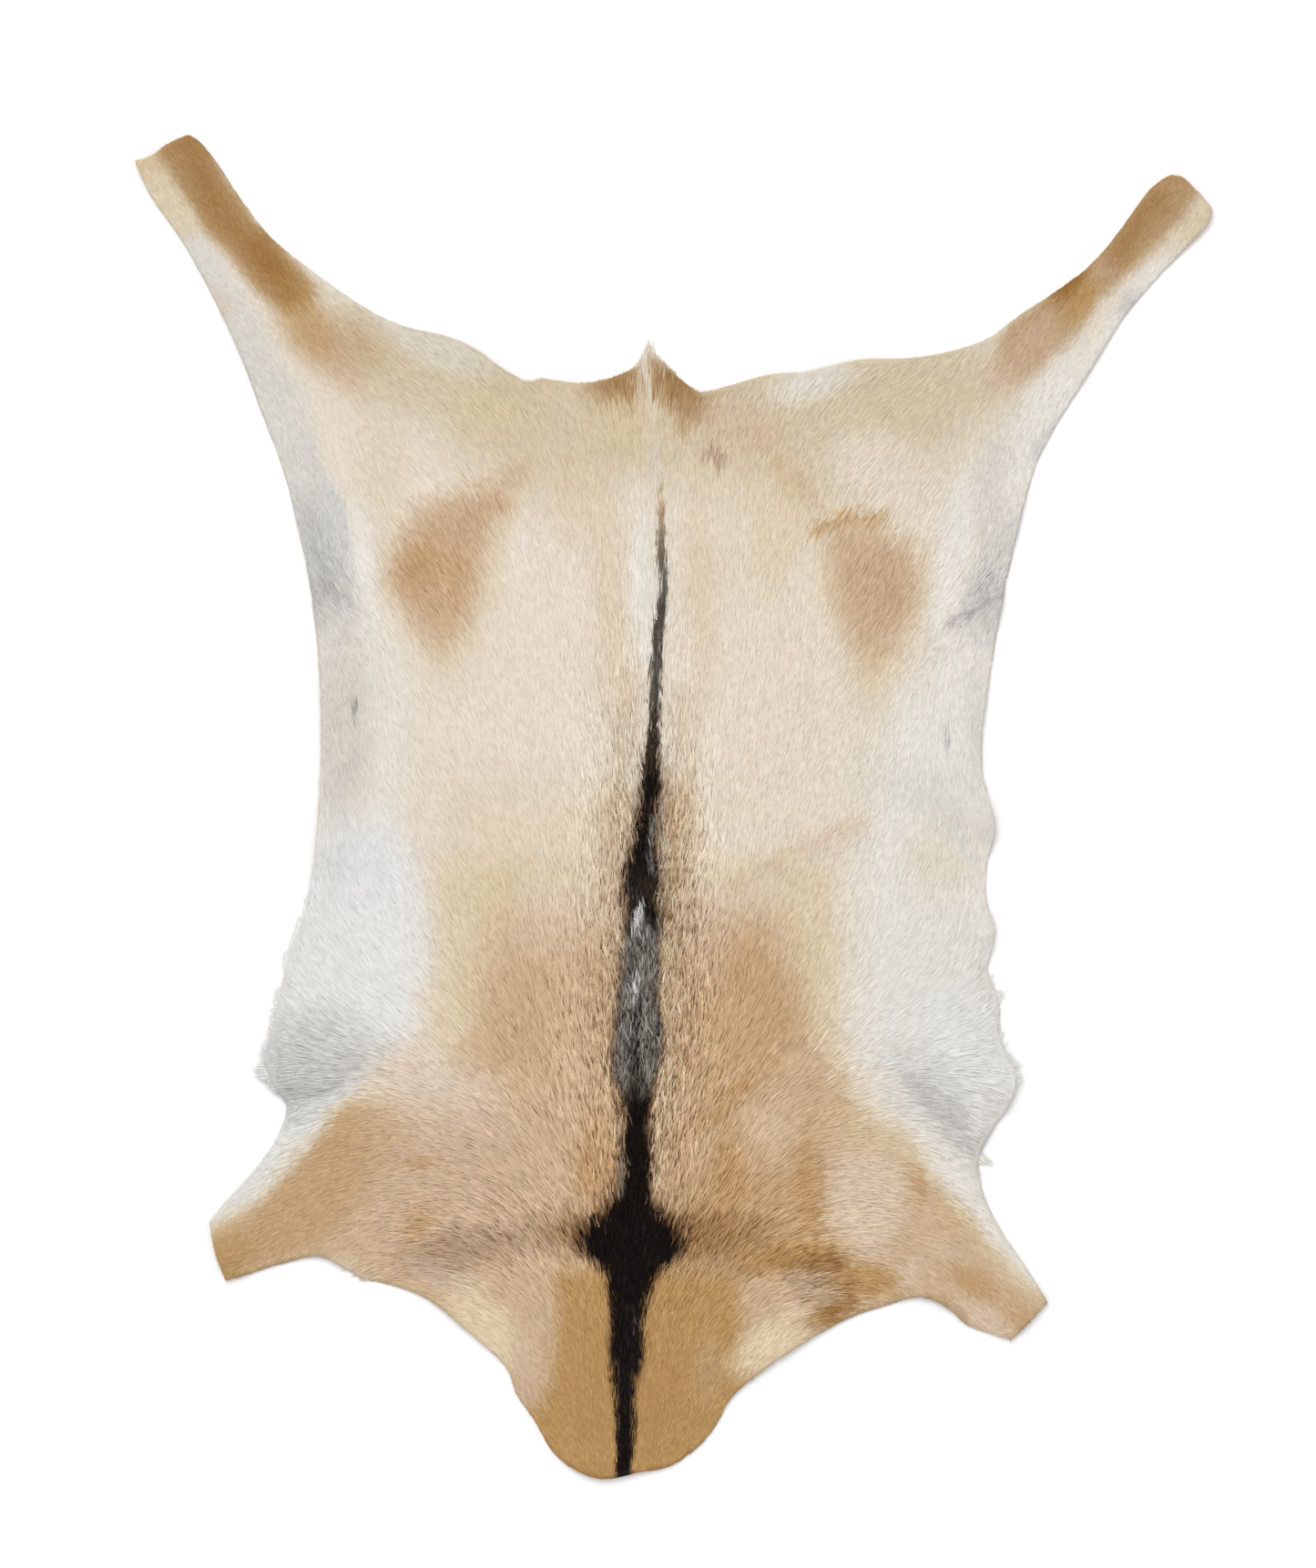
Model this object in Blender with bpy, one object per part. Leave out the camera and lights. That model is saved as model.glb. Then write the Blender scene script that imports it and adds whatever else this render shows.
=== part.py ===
"""Goatskin: one whole hide, tanned with its hair on, lying flat with the hair side up.

The hide is one closed body, the leather together with the coat that lies on it. It is 1.00 m from
the neck end to the hind hooves and 0.80 m across the hind legs. The origin is under the middle of
the hide's box, on the surface it lies on, with +Z up and +Y towards the tail.
"""

import math
from typing import NamedTuple

import bmesh
import bpy
from mathutils import Vector, kdtree, noise

MM = 0.001

LEATHER = 1.6 * MM
COAT_DEPTH = 3.6 * MM
RIM_THICKNESS = 2.2 * MM
RIM_TAPER = 20 * MM
RIM_STEP = 8 * MM
RIM_SAMPLE = 2 * MM
LATTICE = 13.5 * MM
SNAP = 1.2 * MM
COAT_LUMP = 60 * MM
COAT_LUMP_HEIGHT = 0.8 * MM
LEAST_LIFT = 0.25 * MM

COAT_COLOUR = (0.72, 0.62, 0.48, 1.0)
COAT_ROUGHNESS = 0.75


class Rim(NamedTuple):
    """A point of the rim, in millimetres to the right of the middle and towards the tail."""

    across: float
    along: float
    corner: bool = False


class Swell(NamedTuple):
    """A soft oval on the hide: a fold that lifts it, or a place where the coat is deeper or thinner."""

    across: float
    along: float
    half_length: float
    half_width: float
    turn: float
    height: float


# The rim runs clockwise as seen from above, one stretch for each part of the animal.
RIM = {
    "left hind hoof": (
        Rim(-400, 479, True), Rim(-385, 486), Rim(-379, 492), Rim(-366, 498), Rim(-357, 500),
        Rim(-350, 495),
    ),
    "left hind leg, inner edge": (
        Rim(-335, 476), Rim(-320, 453), Rim(-296, 422), Rim(-265, 397), Rim(-232, 374),
        Rim(-202, 358), Rim(-168, 350), Rim(-148, 342), Rim(-125, 327), Rim(-104, 317),
    ),
    "left rump": (
        Rim(-97, 320, True), Rim(-67, 316), Rim(-43, 320), Rim(-26, 329),
    ),
    "tail tuft": (
        Rim(-21, 340), Rim(-17, 344, True), Rim(-11, 337), Rim(2, 325), Rim(21, 311, True),
    ),
    "right rump": (
        Rim(42, 315), Rim(68, 322), Rim(102, 326), Rim(139, 334), Rim(176, 335), Rim(210, 341),
    ),
    "right hind leg, inner edge": (
        Rim(234, 349), Rim(253, 363), Rim(287, 387), Rim(306, 402), Rim(321, 418), Rim(337, 439),
        Rim(355, 461), Rim(371, 470),
    ),
    "right hind hoof": (
        Rim(380, 467), Rim(388, 458), Rim(394, 453), Rim(402, 442, True), Rim(400, 433),
    ),
    "right hind leg, outer edge": (
        Rim(385, 416), Rim(359, 389), Rim(336, 361), Rim(309, 319), Rim(285, 280), Rim(273, 257),
    ),
    "right flank": (
        Rim(264, 230), Rim(255, 192), Rim(244, 139), Rim(236, 89), Rim(231, 45), Rim(233, 16),
        Rim(241, -15), Rim(235, -43), Rim(234, -67), Rim(241, -97), Rim(235, -119), Rim(245, -143),
    ),
    "right armpit": (
        Rim(246, -172), Rim(259, -199), Rim(255, -219), Rim(241, -237), Rim(231, -254),
        Rim(229, -273),
    ),
    "right foreleg, outer edge": (
        Rim(233, -290), Rim(245, -314), Rim(264, -342), Rim(280, -368, True),
    ),
    "right foreleg, inner edge": (
        Rim(252, -399, True), Rim(217, -388), Rim(202, -374), Rim(184, -366),
    ),
    "right side of the neck": (
        Rim(158, -372), Rim(129, -382), Rim(99, -399), Rim(68, -420), Rim(45, -440), Rim(34, -460),
        Rim(20, -477),
    ),
    "neck end": (
        Rim(-1, -491), Rim(-26, -496), Rim(-53, -501), Rim(-78, -493), Rim(-91, -481),
    ),
    "left side of the neck": (
        Rim(-103, -457), Rim(-118, -436), Rim(-123, -420), Rim(-142, -402), Rim(-163, -384),
        Rim(-184, -368), Rim(-210, -359), Rim(-231, -353),
    ),
    "left foreleg, inner edge": (
        Rim(-247, -343), Rim(-262, -336), Rim(-290, -341), Rim(-331, -354, True),
    ),
    "left foreleg, outer edge": (
        Rim(-341, -334), Rim(-344, -308, True), Rim(-326, -287), Rim(-308, -267), Rim(-294, -246),
        Rim(-287, -223),
    ),
    "left armpit": (
        Rim(-299, -210), Rim(-307, -193), Rim(-301, -170), Rim(-295, -141),
    ),
    "left flank": (
        Rim(-286, -107), Rim(-274, -81), Rim(-267, -47), Rim(-263, -3), Rim(-261, 45),
        Rim(-262, 92), Rim(-266, 139), Rim(-271, 173), Rim(-279, 210), Rim(-291, 254),
    ),
    "left hind leg, outer edge": (
        Rim(-305, 291), Rim(-322, 337), Rim(-343, 381), Rim(-364, 418), Rim(-387, 452),
    ),
}

# Where the leather stands off the floor: edges that dried wavy, and creases where the legs join.
FOLDS = {
    "left groin crease": Swell(-248, 146, 32, 9, -50, 4.5),
    "right groin crease": Swell(232, 142, 32, 9, 34, 4.5),
    "left groin ridge": Swell(-234, 178, 44, 9, 93, 3.0),
    "right groin ridge": Swell(212, 176, 44, 9, 83, 3.0),
    "left groin edge": Swell(-274, 204, 36, 14, 75, 3.0),
    "right groin edge": Swell(258, 208, 40, 14, 105, 3.0),
    "left flank wave, rear": Swell(-262, 66, 46, 16, 90, 4.0),
    "left flank wave, front": Swell(-266, -34, 34, 18, 80, 4.5),
    "left belly crease": Swell(-246, 30, 28, 7, 60, 2.0),
    "right flank wave": Swell(232, 62, 36, 12, 90, 3.0),
    "right flank bulge": Swell(236, -12, 22, 15, 95, 4.5),
    "right flank fold": Swell(220, -6, 26, 9, -22, 4.5),
    "right flank ripple": Swell(238, -98, 20, 14, 95, 4.5),
    "right belly crease": Swell(211, 104, 34, 8, 92, 2.4),
    "left armpit roll": Swell(-297, -190, 34, 18, 65, 6.5),
    "left armpit crease": Swell(-262, -196, 40, 10, 20, 4.0),
    "right armpit roll": Swell(252, -206, 32, 18, 110, 6.5),
    "right armpit crease": Swell(214, -232, 40, 10, -40, 4.0),
    "right elbow crease": Swell(190, -362, 26, 10, -35, 5.0),
    "left elbow edge": Swell(-255, -340, 30, 12, 15, 4.0),
    "left hind hoof": Swell(-384, 484, 26, 34, 55, 6.0),
    "right hind hoof": Swell(392, 452, 26, 34, -50, 6.0),
    "left foreleg end": Swell(-338, -332, 20, 28, 10, 4.0),
    "right foreleg end": Swell(268, -384, 20, 28, -40, 4.0),
    "left rump edge": Swell(-130, 330, 44, 14, -32, 4.5),
    "right rump edge": Swell(128, 330, 70, 12, 8, 3.5),
    "left hind leg wave": Swell(-332, 352, 34, 12, 117, 3.0),
    "right hind leg wave": Swell(318, 330, 34, 12, 58, 3.0),
    "neck end curl": Swell(-52, -496, 40, 14, 0, 3.5),
    "left neck edge": Swell(-160, -384, 46, 12, -42, 3.5),
    "right neck edge": Swell(84, -410, 48, 12, 32, 3.5),
    "left back band": Swell(-196, -30, 90, 10, 6, 1.4),
    "right back band": Swell(104, -28, 90, 10, 28, 1.4),
}

# Where the coat is deeper or thinner than it is on the back.
COAT = {
    "mane along the withers": Swell(-30, -260, 150, 34, 92, 1.4),
    "tail tuft": Swell(-16, 322, 30, 26, 90, 1.6),
    "left belly": Swell(-270, -120, 110, 50, 90, 1.2),
    "right belly": Swell(225, -150, 110, 50, 90, 1.2),
    "left hind shank": Swell(-350, 430, 110, 60, 118, -1.4),
    "right hind shank": Swell(355, 415, 110, 60, 50, -1.4),
    "left foreleg": Swell(-320, -310, 60, 60, 40, -1.0),
    "right foreleg": Swell(255, -355, 60, 60, -50, -1.0),
    "left groin": Swell(-262, 200, 80, 34, 85, -1.6),
    "right groin": Swell(240, 200, 80, 34, 95, -1.6),
    "neck": Swell(-40, -440, 90, 90, 0, -0.6),
}


def rim_points():
    """The rim in metres, as one closed list of evenly spaced points on a smooth curve."""
    points = [point for stretch in RIM.values() for point in stretch]
    places = [Vector((point.across, point.along)) * MM for point in points]
    rim = []
    for index, start in enumerate(points):
        after = (index + 1) % len(points)
        rim += curve_between(
            places[index - 1], places[index], places[after], places[(after + 1) % len(points)],
            start.corner, points[after].corner,
        )
    return centred(rim)


def curve_between(before, start, end, after, start_is_corner, end_is_corner):
    """Points from start up to end on a centripetal Catmull-Rom curve, which turns sharply at a corner."""
    if start_is_corner:
        before = 2 * start - end
    if end_is_corner:
        after = 2 * end - start
    knots = [0.0]
    for first, second in ((before, start), (start, end), (end, after)):
        knots.append(knots[-1] + math.sqrt((second - first).length))
    count = max(1, round((end - start).length / RIM_STEP))
    made = []
    for step in range(count):
        at = knots[1] + (knots[2] - knots[1]) * step / count
        row = [before, start, end, after]
        for level in (1, 2, 3):
            row = [blend(row[i], row[i + 1], at, *spans(knots, level, i)) for i in range(4 - level)]
        made.append(row[0])
    return made


def spans(knots, level, index):
    """The two knots between which a pair is blended at this level of the curve's pyramid."""
    if level == 3:
        return knots[1], knots[2]
    if level == 2:
        return knots[index], knots[index + 2]
    return knots[index], knots[index + 1]


def blend(first, second, at, low, high):
    return first * ((high - at) / (high - low)) + second * ((at - low) / (high - low))


def centred(points):
    """The same points, moved so that the middle of their box is the origin."""
    lowest = Vector([min(point[axis] for point in points) for axis in (0, 1)])
    highest = Vector([max(point[axis] for point in points) for axis in (0, 1)])
    return [point - (lowest + highest) / 2 for point in points]


def swelling(swells, x, y):
    """The sum of the swells at a place, in metres."""
    total = 0.0
    for swell in swells.values():
        turn = math.radians(swell.turn)
        dx = x / MM - swell.across
        dy = y / MM - swell.along
        lengthwise = (dx * math.cos(turn) + dy * math.sin(turn)) / swell.half_length
        sidewise = (dy * math.cos(turn) - dx * math.sin(turn)) / swell.half_width
        total += swell.height * math.exp(-lengthwise**2 - sidewise**2)
    return total * MM


def lift(x, y):
    """How far the leather stands off the floor. Most of the hide lies flat, at nought."""
    height = swelling(FOLDS, x, y)
    return max(0.0, height - LEAST_LIFT)


def thickness(x, y, inward):
    """The leather with the coat lying on it, at a place that is so far inward from the rim."""
    lump = noise.noise(Vector((x, y, 0)) / COAT_LUMP) * COAT_LUMP_HEIGHT
    full = LEATHER + COAT_DEPTH + swelling(COAT, x, y) + lump
    share = min(1.0, inward / RIM_TAPER)
    return RIM_THICKNESS + (full - RIM_THICKNESS) * math.sin(share * math.pi / 2)


def rim_tree(rim):
    """A search tree of points all along the rim, to tell how far a place is from it."""
    samples = []
    for index, point in enumerate(rim):
        following = rim[(index + 1) % len(rim)]
        count = max(1, round((following - point).length / RIM_SAMPLE))
        samples += [point.lerp(following, step / count) for step in range(count)]
    tree = kdtree.KDTree(len(samples))
    for index, sample in enumerate(samples):
        tree.insert(sample.to_3d(), index)
    tree.balance()
    return tree


def cut_lattice(bm, reach):
    """Cuts the flat outline with evenly spaced straight cuts both ways, so that it can follow its folds."""
    for axis in (0, 1):
        normal = Vector((0, 0, 0))
        normal[axis] = 1
        count = math.floor(reach[axis] / LATTICE)
        for line in range(-count, count + 1):
            bmesh.ops.bisect_plane(
                bm, geom=bm.verts[:] + bm.edges[:] + bm.faces[:], dist=SNAP,
                plane_co=normal * line * LATTICE, plane_no=normal,
            )


def hide_mesh(rim):
    """One closed mesh: the outline, cut into a lattice, given an upper side and laid on its folds."""
    bm = bmesh.new()
    bm.faces.new([bm.verts.new(point.to_3d()) for point in rim])
    reach = [max(abs(point[axis]) for point in rim) for axis in (0, 1)]
    cut_lattice(bm, reach)
    bmesh.ops.triangulate(bm, faces=bm.faces[:])
    upper = bmesh.ops.extrude_face_region(bm, geom=bm.faces[:], use_keep_orig=True)["geom"]
    upper_verts = {item for item in upper if isinstance(item, bmesh.types.BMVert)}
    tree = rim_tree(rim)
    for vert in bm.verts:
        x, y = vert.co.xy
        inward = tree.find(vert.co.xy.to_3d())[2]
        vert.co.z = lift(x, y) + (thickness(x, y, inward) if vert in upper_verts else 0.0)
    bmesh.ops.recalc_face_normals(bm, faces=bm.faces[:])
    mesh = bpy.data.meshes.new("goatskin")
    bm.to_mesh(mesh)
    bm.free()
    return mesh


def coat_material():
    material = bpy.data.materials.new("goat hair")
    material.use_nodes = True
    shader = material.node_tree.nodes["Principled BSDF"]
    shader.inputs["Base Color"].default_value = COAT_COLOUR
    shader.inputs["Roughness"].default_value = COAT_ROUGHNESS
    shader.inputs["Metallic"].default_value = 0.0
    return material


def main():
    for obj in list(bpy.data.objects):
        bpy.data.objects.remove(obj, do_unlink=True)
    collection = bpy.data.collections.new("Goatskin")
    bpy.context.scene.collection.children.link(collection)
    mesh = hide_mesh(rim_points())
    mesh.shade_smooth()
    mesh.materials.append(coat_material())
    collection.objects.link(bpy.data.objects.new("goatskin", mesh))


main()
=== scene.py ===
"""Looks of a whole goatskin that lies flat with its hair side up.

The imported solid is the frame. A thin leather sheet lies on that solid's underside, folds and all,
and a coat of short modelled locks is combed over it: each lock is rooted in the leather, leans the
way the hair grows there and takes the coat's colour at its place. Places on the hide are in
millimetres from the middle of its box: across to the right, along towards the tail.
"""

import logging
import math
from contextlib import contextmanager
from dataclasses import dataclass, field
from enum import Enum
from typing import Iterator, NamedTuple, Sequence

import bmesh
import bpy
import numpy as np
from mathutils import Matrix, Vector
from mathutils.bvhtree import BVHTree


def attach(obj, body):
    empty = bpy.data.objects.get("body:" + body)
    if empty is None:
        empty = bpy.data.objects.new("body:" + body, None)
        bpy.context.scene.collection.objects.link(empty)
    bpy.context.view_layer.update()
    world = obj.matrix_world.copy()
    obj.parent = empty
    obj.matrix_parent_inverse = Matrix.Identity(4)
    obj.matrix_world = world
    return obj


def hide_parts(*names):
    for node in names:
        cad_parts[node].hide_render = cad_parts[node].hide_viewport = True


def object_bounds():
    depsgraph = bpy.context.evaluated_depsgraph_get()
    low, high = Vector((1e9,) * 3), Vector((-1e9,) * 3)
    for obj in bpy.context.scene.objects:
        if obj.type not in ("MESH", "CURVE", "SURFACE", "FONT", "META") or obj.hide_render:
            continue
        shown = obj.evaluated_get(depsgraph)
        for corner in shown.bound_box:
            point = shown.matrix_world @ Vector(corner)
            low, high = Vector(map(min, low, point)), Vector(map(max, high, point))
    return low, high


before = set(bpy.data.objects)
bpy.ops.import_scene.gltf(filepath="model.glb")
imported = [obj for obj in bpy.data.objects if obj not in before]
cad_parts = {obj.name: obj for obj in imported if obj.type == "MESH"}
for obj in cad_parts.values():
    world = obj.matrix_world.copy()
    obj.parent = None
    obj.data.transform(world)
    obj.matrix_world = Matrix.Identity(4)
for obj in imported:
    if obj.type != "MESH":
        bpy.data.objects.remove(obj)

CAD_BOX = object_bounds()
MM = 0.001
NODE = "goatskin"
BODY = "root"
COLOUR_LAYER = "coat_colour"
MAP_LAYER = "OFBake"
SEED = 11
# What a place looked up in a grid keeps off the grid's end, in cells, so that it has a cell beyond it.
LAST_CELL = 1.001

LOG = logging.getLogger("goatskin")

Place = tuple[float, float]


class Tone(Enum):
    """The colours of coat and skin as they look in soft light, in sRGB steps of 255."""

    WHITE = (227, 226, 223)
    BLUE_WHITE = (222, 222, 221)
    WARM_WHITE = (230, 225, 216)
    OYSTER = (214, 209, 200)
    CREAM = (226, 215, 200)
    BUTTER = (227, 209, 176)
    SAND = (217, 199, 166)
    DEEP_SAND = (207, 184, 146)
    DUSK = (204, 187, 154)
    ROSY_WHITE = (216, 194, 170)
    ROSY_FAWN = (202, 173, 145)
    FAWN = (203, 174, 140)
    STRAW = (190, 161, 117)
    GOLD = (182, 141, 87)
    CARAMEL = (183, 138, 86)
    DARK_CARAMEL = (147, 102, 53)
    TAN = (190, 154, 119)
    HAZEL = (165, 127, 80)
    UMBER = (152, 112, 68)
    MUD = (163, 134, 108)
    BARK = (88, 60, 38)
    MAUVE = (190, 166, 148)
    PALE_GREY = (204, 202, 198)
    GREY = (184, 182, 179)
    # A grey for the grey hairs of the line, and for painted shade in creases, folds and slits.
    CREASE = (152, 149, 145)
    IRON = (111, 104, 97)
    PEWTER = (126, 115, 97)
    OLIVE = (104, 96, 82)
    SLATE = (72, 68, 61)
    SOOT = (48, 41, 34)
    BLACK = (25, 19, 15)
    FLESH = (203, 186, 160)
    DRY_FLESH = (176, 150, 118)

    def rgb(self) -> np.ndarray:
        """The tone as three numbers from 0 to 1, still in sRGB."""
        return np.array(self.value, float) / 255


class Seed(Enum):
    """The seed of each soft noise."""

    WANDER_ACROSS = 11
    WANDER_ALONG = 5
    FINE_ACROSS = 3
    FINE_ALONG = 7
    TONGUES = 9
    DRIFT = 21
    CLUMP = 23
    DRY_RIM = 31
    TUFTS = 41


class Grain(Enum):
    """The noises that shade a colour: how many finer ones lie over the first, and how much they count."""

    MOTTLE = (4.0, 0.55)
    STRANDS = (2.0, 0.6)


class Oval(NamedTuple):
    """An oval patch, turned so many degrees towards along, whose edge fades over a share of its size."""

    tone: Tone
    across: float
    along: float
    half_length: float
    half_width: float
    turn: float = 0.0
    strength: float = 1.0
    soft: float = 0.55


class Area(NamedTuple):
    """A patch with its own outline, grown by some millimetres, whose edge fades so far to each side."""

    tone: Tone
    soft: float
    strength: float
    outline: tuple[Place, ...]
    grow: float = 0.0


class Streak(NamedTuple):
    """A line of colour through its points, whose edges fade so far to each side."""

    tone: Tone
    half_width: float
    soft: float
    strength: float
    points: tuple[Place, ...]


class StripeRow(NamedTuple):
    """The dark line down the back at one place: its edges, its brown fringes and its tone."""

    along: float
    left: float
    right: float
    left_fringe: float
    right_fringe: float
    tone: Tone


class CombRow(NamedTuple):
    """How many degrees the hair leans out from the way to the tail, at five distances from the spine."""

    along: float
    at_50: float
    at_100: float
    at_150: float
    at_200: float
    at_250: float


class Growth(NamedTuple):
    """A soft oval where the coat or the rim differs by an amount from what it is elsewhere."""

    across: float
    along: float
    half_length: float
    half_width: float
    turn: float
    amount: float


FAWN_SADDLE: tuple[Place, ...] = (
    (-136, -118), (-144, -132), (-149, -152), (-156, -176), (-172, -202), (-206, -216), (-234, -222),
    (-257, -236), (-275, -255), (-294, -277), (-318, -302), (-352, -326), (-340, -368), (-250, -352),
    (-200, -520), (60, -520), (200, -380), (256, -404), (286, -370), (246, -350), (219, -322),
    (201, -296), (189, -276), (178, -262), (168, -250), (156, -242), (140, -231), (127, -208),
    (116, -188), (106, -168), (101, -150), (96, -130), (86, -120), (20, -116), (-60, -116),
)

LEFT_PATCH: tuple[Place, ...] = (
    (-201, 207), (-190, 217), (-174, 226), (-156, 232), (-142, 237), (-131, 239), (-122, 235),
    (-124, 225), (-131, 214), (-139, 204), (-144, 190), (-145, 172), (-149, 155), (-154, 140),
    (-162, 127), (-173, 118), (-184, 126), (-194, 140), (-203, 154), (-208, 172), (-207, 190),
)

RIGHT_PATCH: tuple[Place, ...] = (
    (114, 200), (122, 208), (148, 210), (162, 202), (174, 192), (182, 180), (183, 164), (178, 146),
    (170, 128), (160, 112), (150, 100), (142, 106), (134, 122), (126, 142), (119, 162), (116, 184),
)

AREAS: dict[str, Area] = {
    "rump": Area(Tone.DUSK, 30, 0.78, (
        (-300, 380), (-230, 300), (-110, 228), (-60, 240), (40, 240), (120, 215), (200, 260),
        (290, 350), (200, 345), (-10, 345), (-200, 370),
    )),
    "belt of sand behind the withers": Area(Tone.SAND, 30, 0.5, (
        (-172, 16), (-120, 24), (-60, 16), (60, 2), (96, -14), (104, -80), (-170, -80),
    )),
    "left side, white": Area(Tone.WHITE, 13, 1.0, (
        (-300, 4), (-214, -4), (-190, -56), (-186, -110), (-194, -150), (-208, -182), (-240, -208),
        (-262, -234), (-292, -266), (-318, -290), (-400, -330), (-400, 0),
    )),
    "right side, white": Area(Tone.WARM_WHITE, 18, 1.0, (
        (168, 84), (152, 20), (140, -60), (136, -150), (143, -180), (159, -208), (192, -234),
        (203, -258), (219, -296), (258, -346), (400, -350), (400, 84),
    )),
    "sand fringe of the front": Area(Tone.SAND, 7, 1.0, FAWN_SADDLE, 8),
    "left of the front, sand": Area(Tone.SAND, 13, 0.9, (
        (-172, -40), (-174, -90), (-177, -140), (-184, -176), (-120, -190), (-110, -40),
    )),
    "right of the front, sand": Area(Tone.SAND, 10, 0.9, (
        (116, -40), (121, -90), (123, -150), (131, -190), (90, -200), (80, -40),
    )),
    "front, first hint of fawn": Area(Tone.FAWN, 36, 0.5, (
        (-128, -56), (72, -58), (84, -130), (-146, -130),
    )),
    "front, fading towards the back": Area(Tone.FAWN, 24, 0.8, (
        (-134, -90), (76, -88), (90, -140), (-146, -140),
    )),
    "fawn front": Area(Tone.FAWN, 10, 1.0, FAWN_SADDLE),
    "left neck": Area(Tone.GOLD, 10, 0.92, (
        (-88, -346), (-60, -340), (-20, -340), (-20, -520), (-130, -520), (-116, -454), (-99, -438),
        (-91, -422), (-88, -392),
    )),
    "right neck": Area(Tone.GOLD, 10, 0.92, (
        (-30, -338), (20, -342), (46, -348), (52, -396), (56, -436), (60, -520), (-30, -520),
    )),
    "left patch, halo": Area(Tone.SAND, 14, 0.65, LEFT_PATCH, 9),
    "left patch": Area(Tone.TAN, 14, 0.79, LEFT_PATCH),
    "right patch, halo": Area(Tone.SAND, 15, 0.65, RIGHT_PATCH, 10),
    "right patch": Area(Tone.TAN, 12, 0.66, RIGHT_PATCH),
    "left hind leg, band": Area(Tone.HAZEL, 7, 0.9, (
        (-378, 484), (-372, 506), (-346, 504), (-336, 478), (-318, 448), (-298, 424), (-278, 404),
        (-266, 390), (-264, 376), (-280, 368), (-300, 374), (-314, 388), (-326, 402), (-345, 424),
        (-364, 450),
    )),
    "right hind leg, band": Area(Tone.HAZEL, 8, 0.82, (
        (250, 356), (272, 374), (286, 388), (298, 404), (314, 420), (330, 438), (346, 458), (360, 476),
        (384, 472), (390, 454), (374, 432), (353, 410), (331, 391), (314, 375), (304, 360), (290, 342),
        (274, 328), (256, 320), (242, 330), (242, 344),
    )),
    "left groin": Area(Tone.PALE_GREY, 4, 1.0, (
        (-300, 290), (-272, 276), (-256, 250), (-243, 222), (-239, 200), (-236, 174), (-234, 150),
        (-240, 136), (-256, 130), (-280, 136), (-310, 200),
    )),
    "right groin": Area(Tone.PALE_GREY, 4, 0.85, (
        (266, 226), (246, 222), (234, 206), (224, 186), (217, 164), (212, 146), (219, 132), (231, 116),
        (250, 104), (280, 200),
    )),
}

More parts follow.
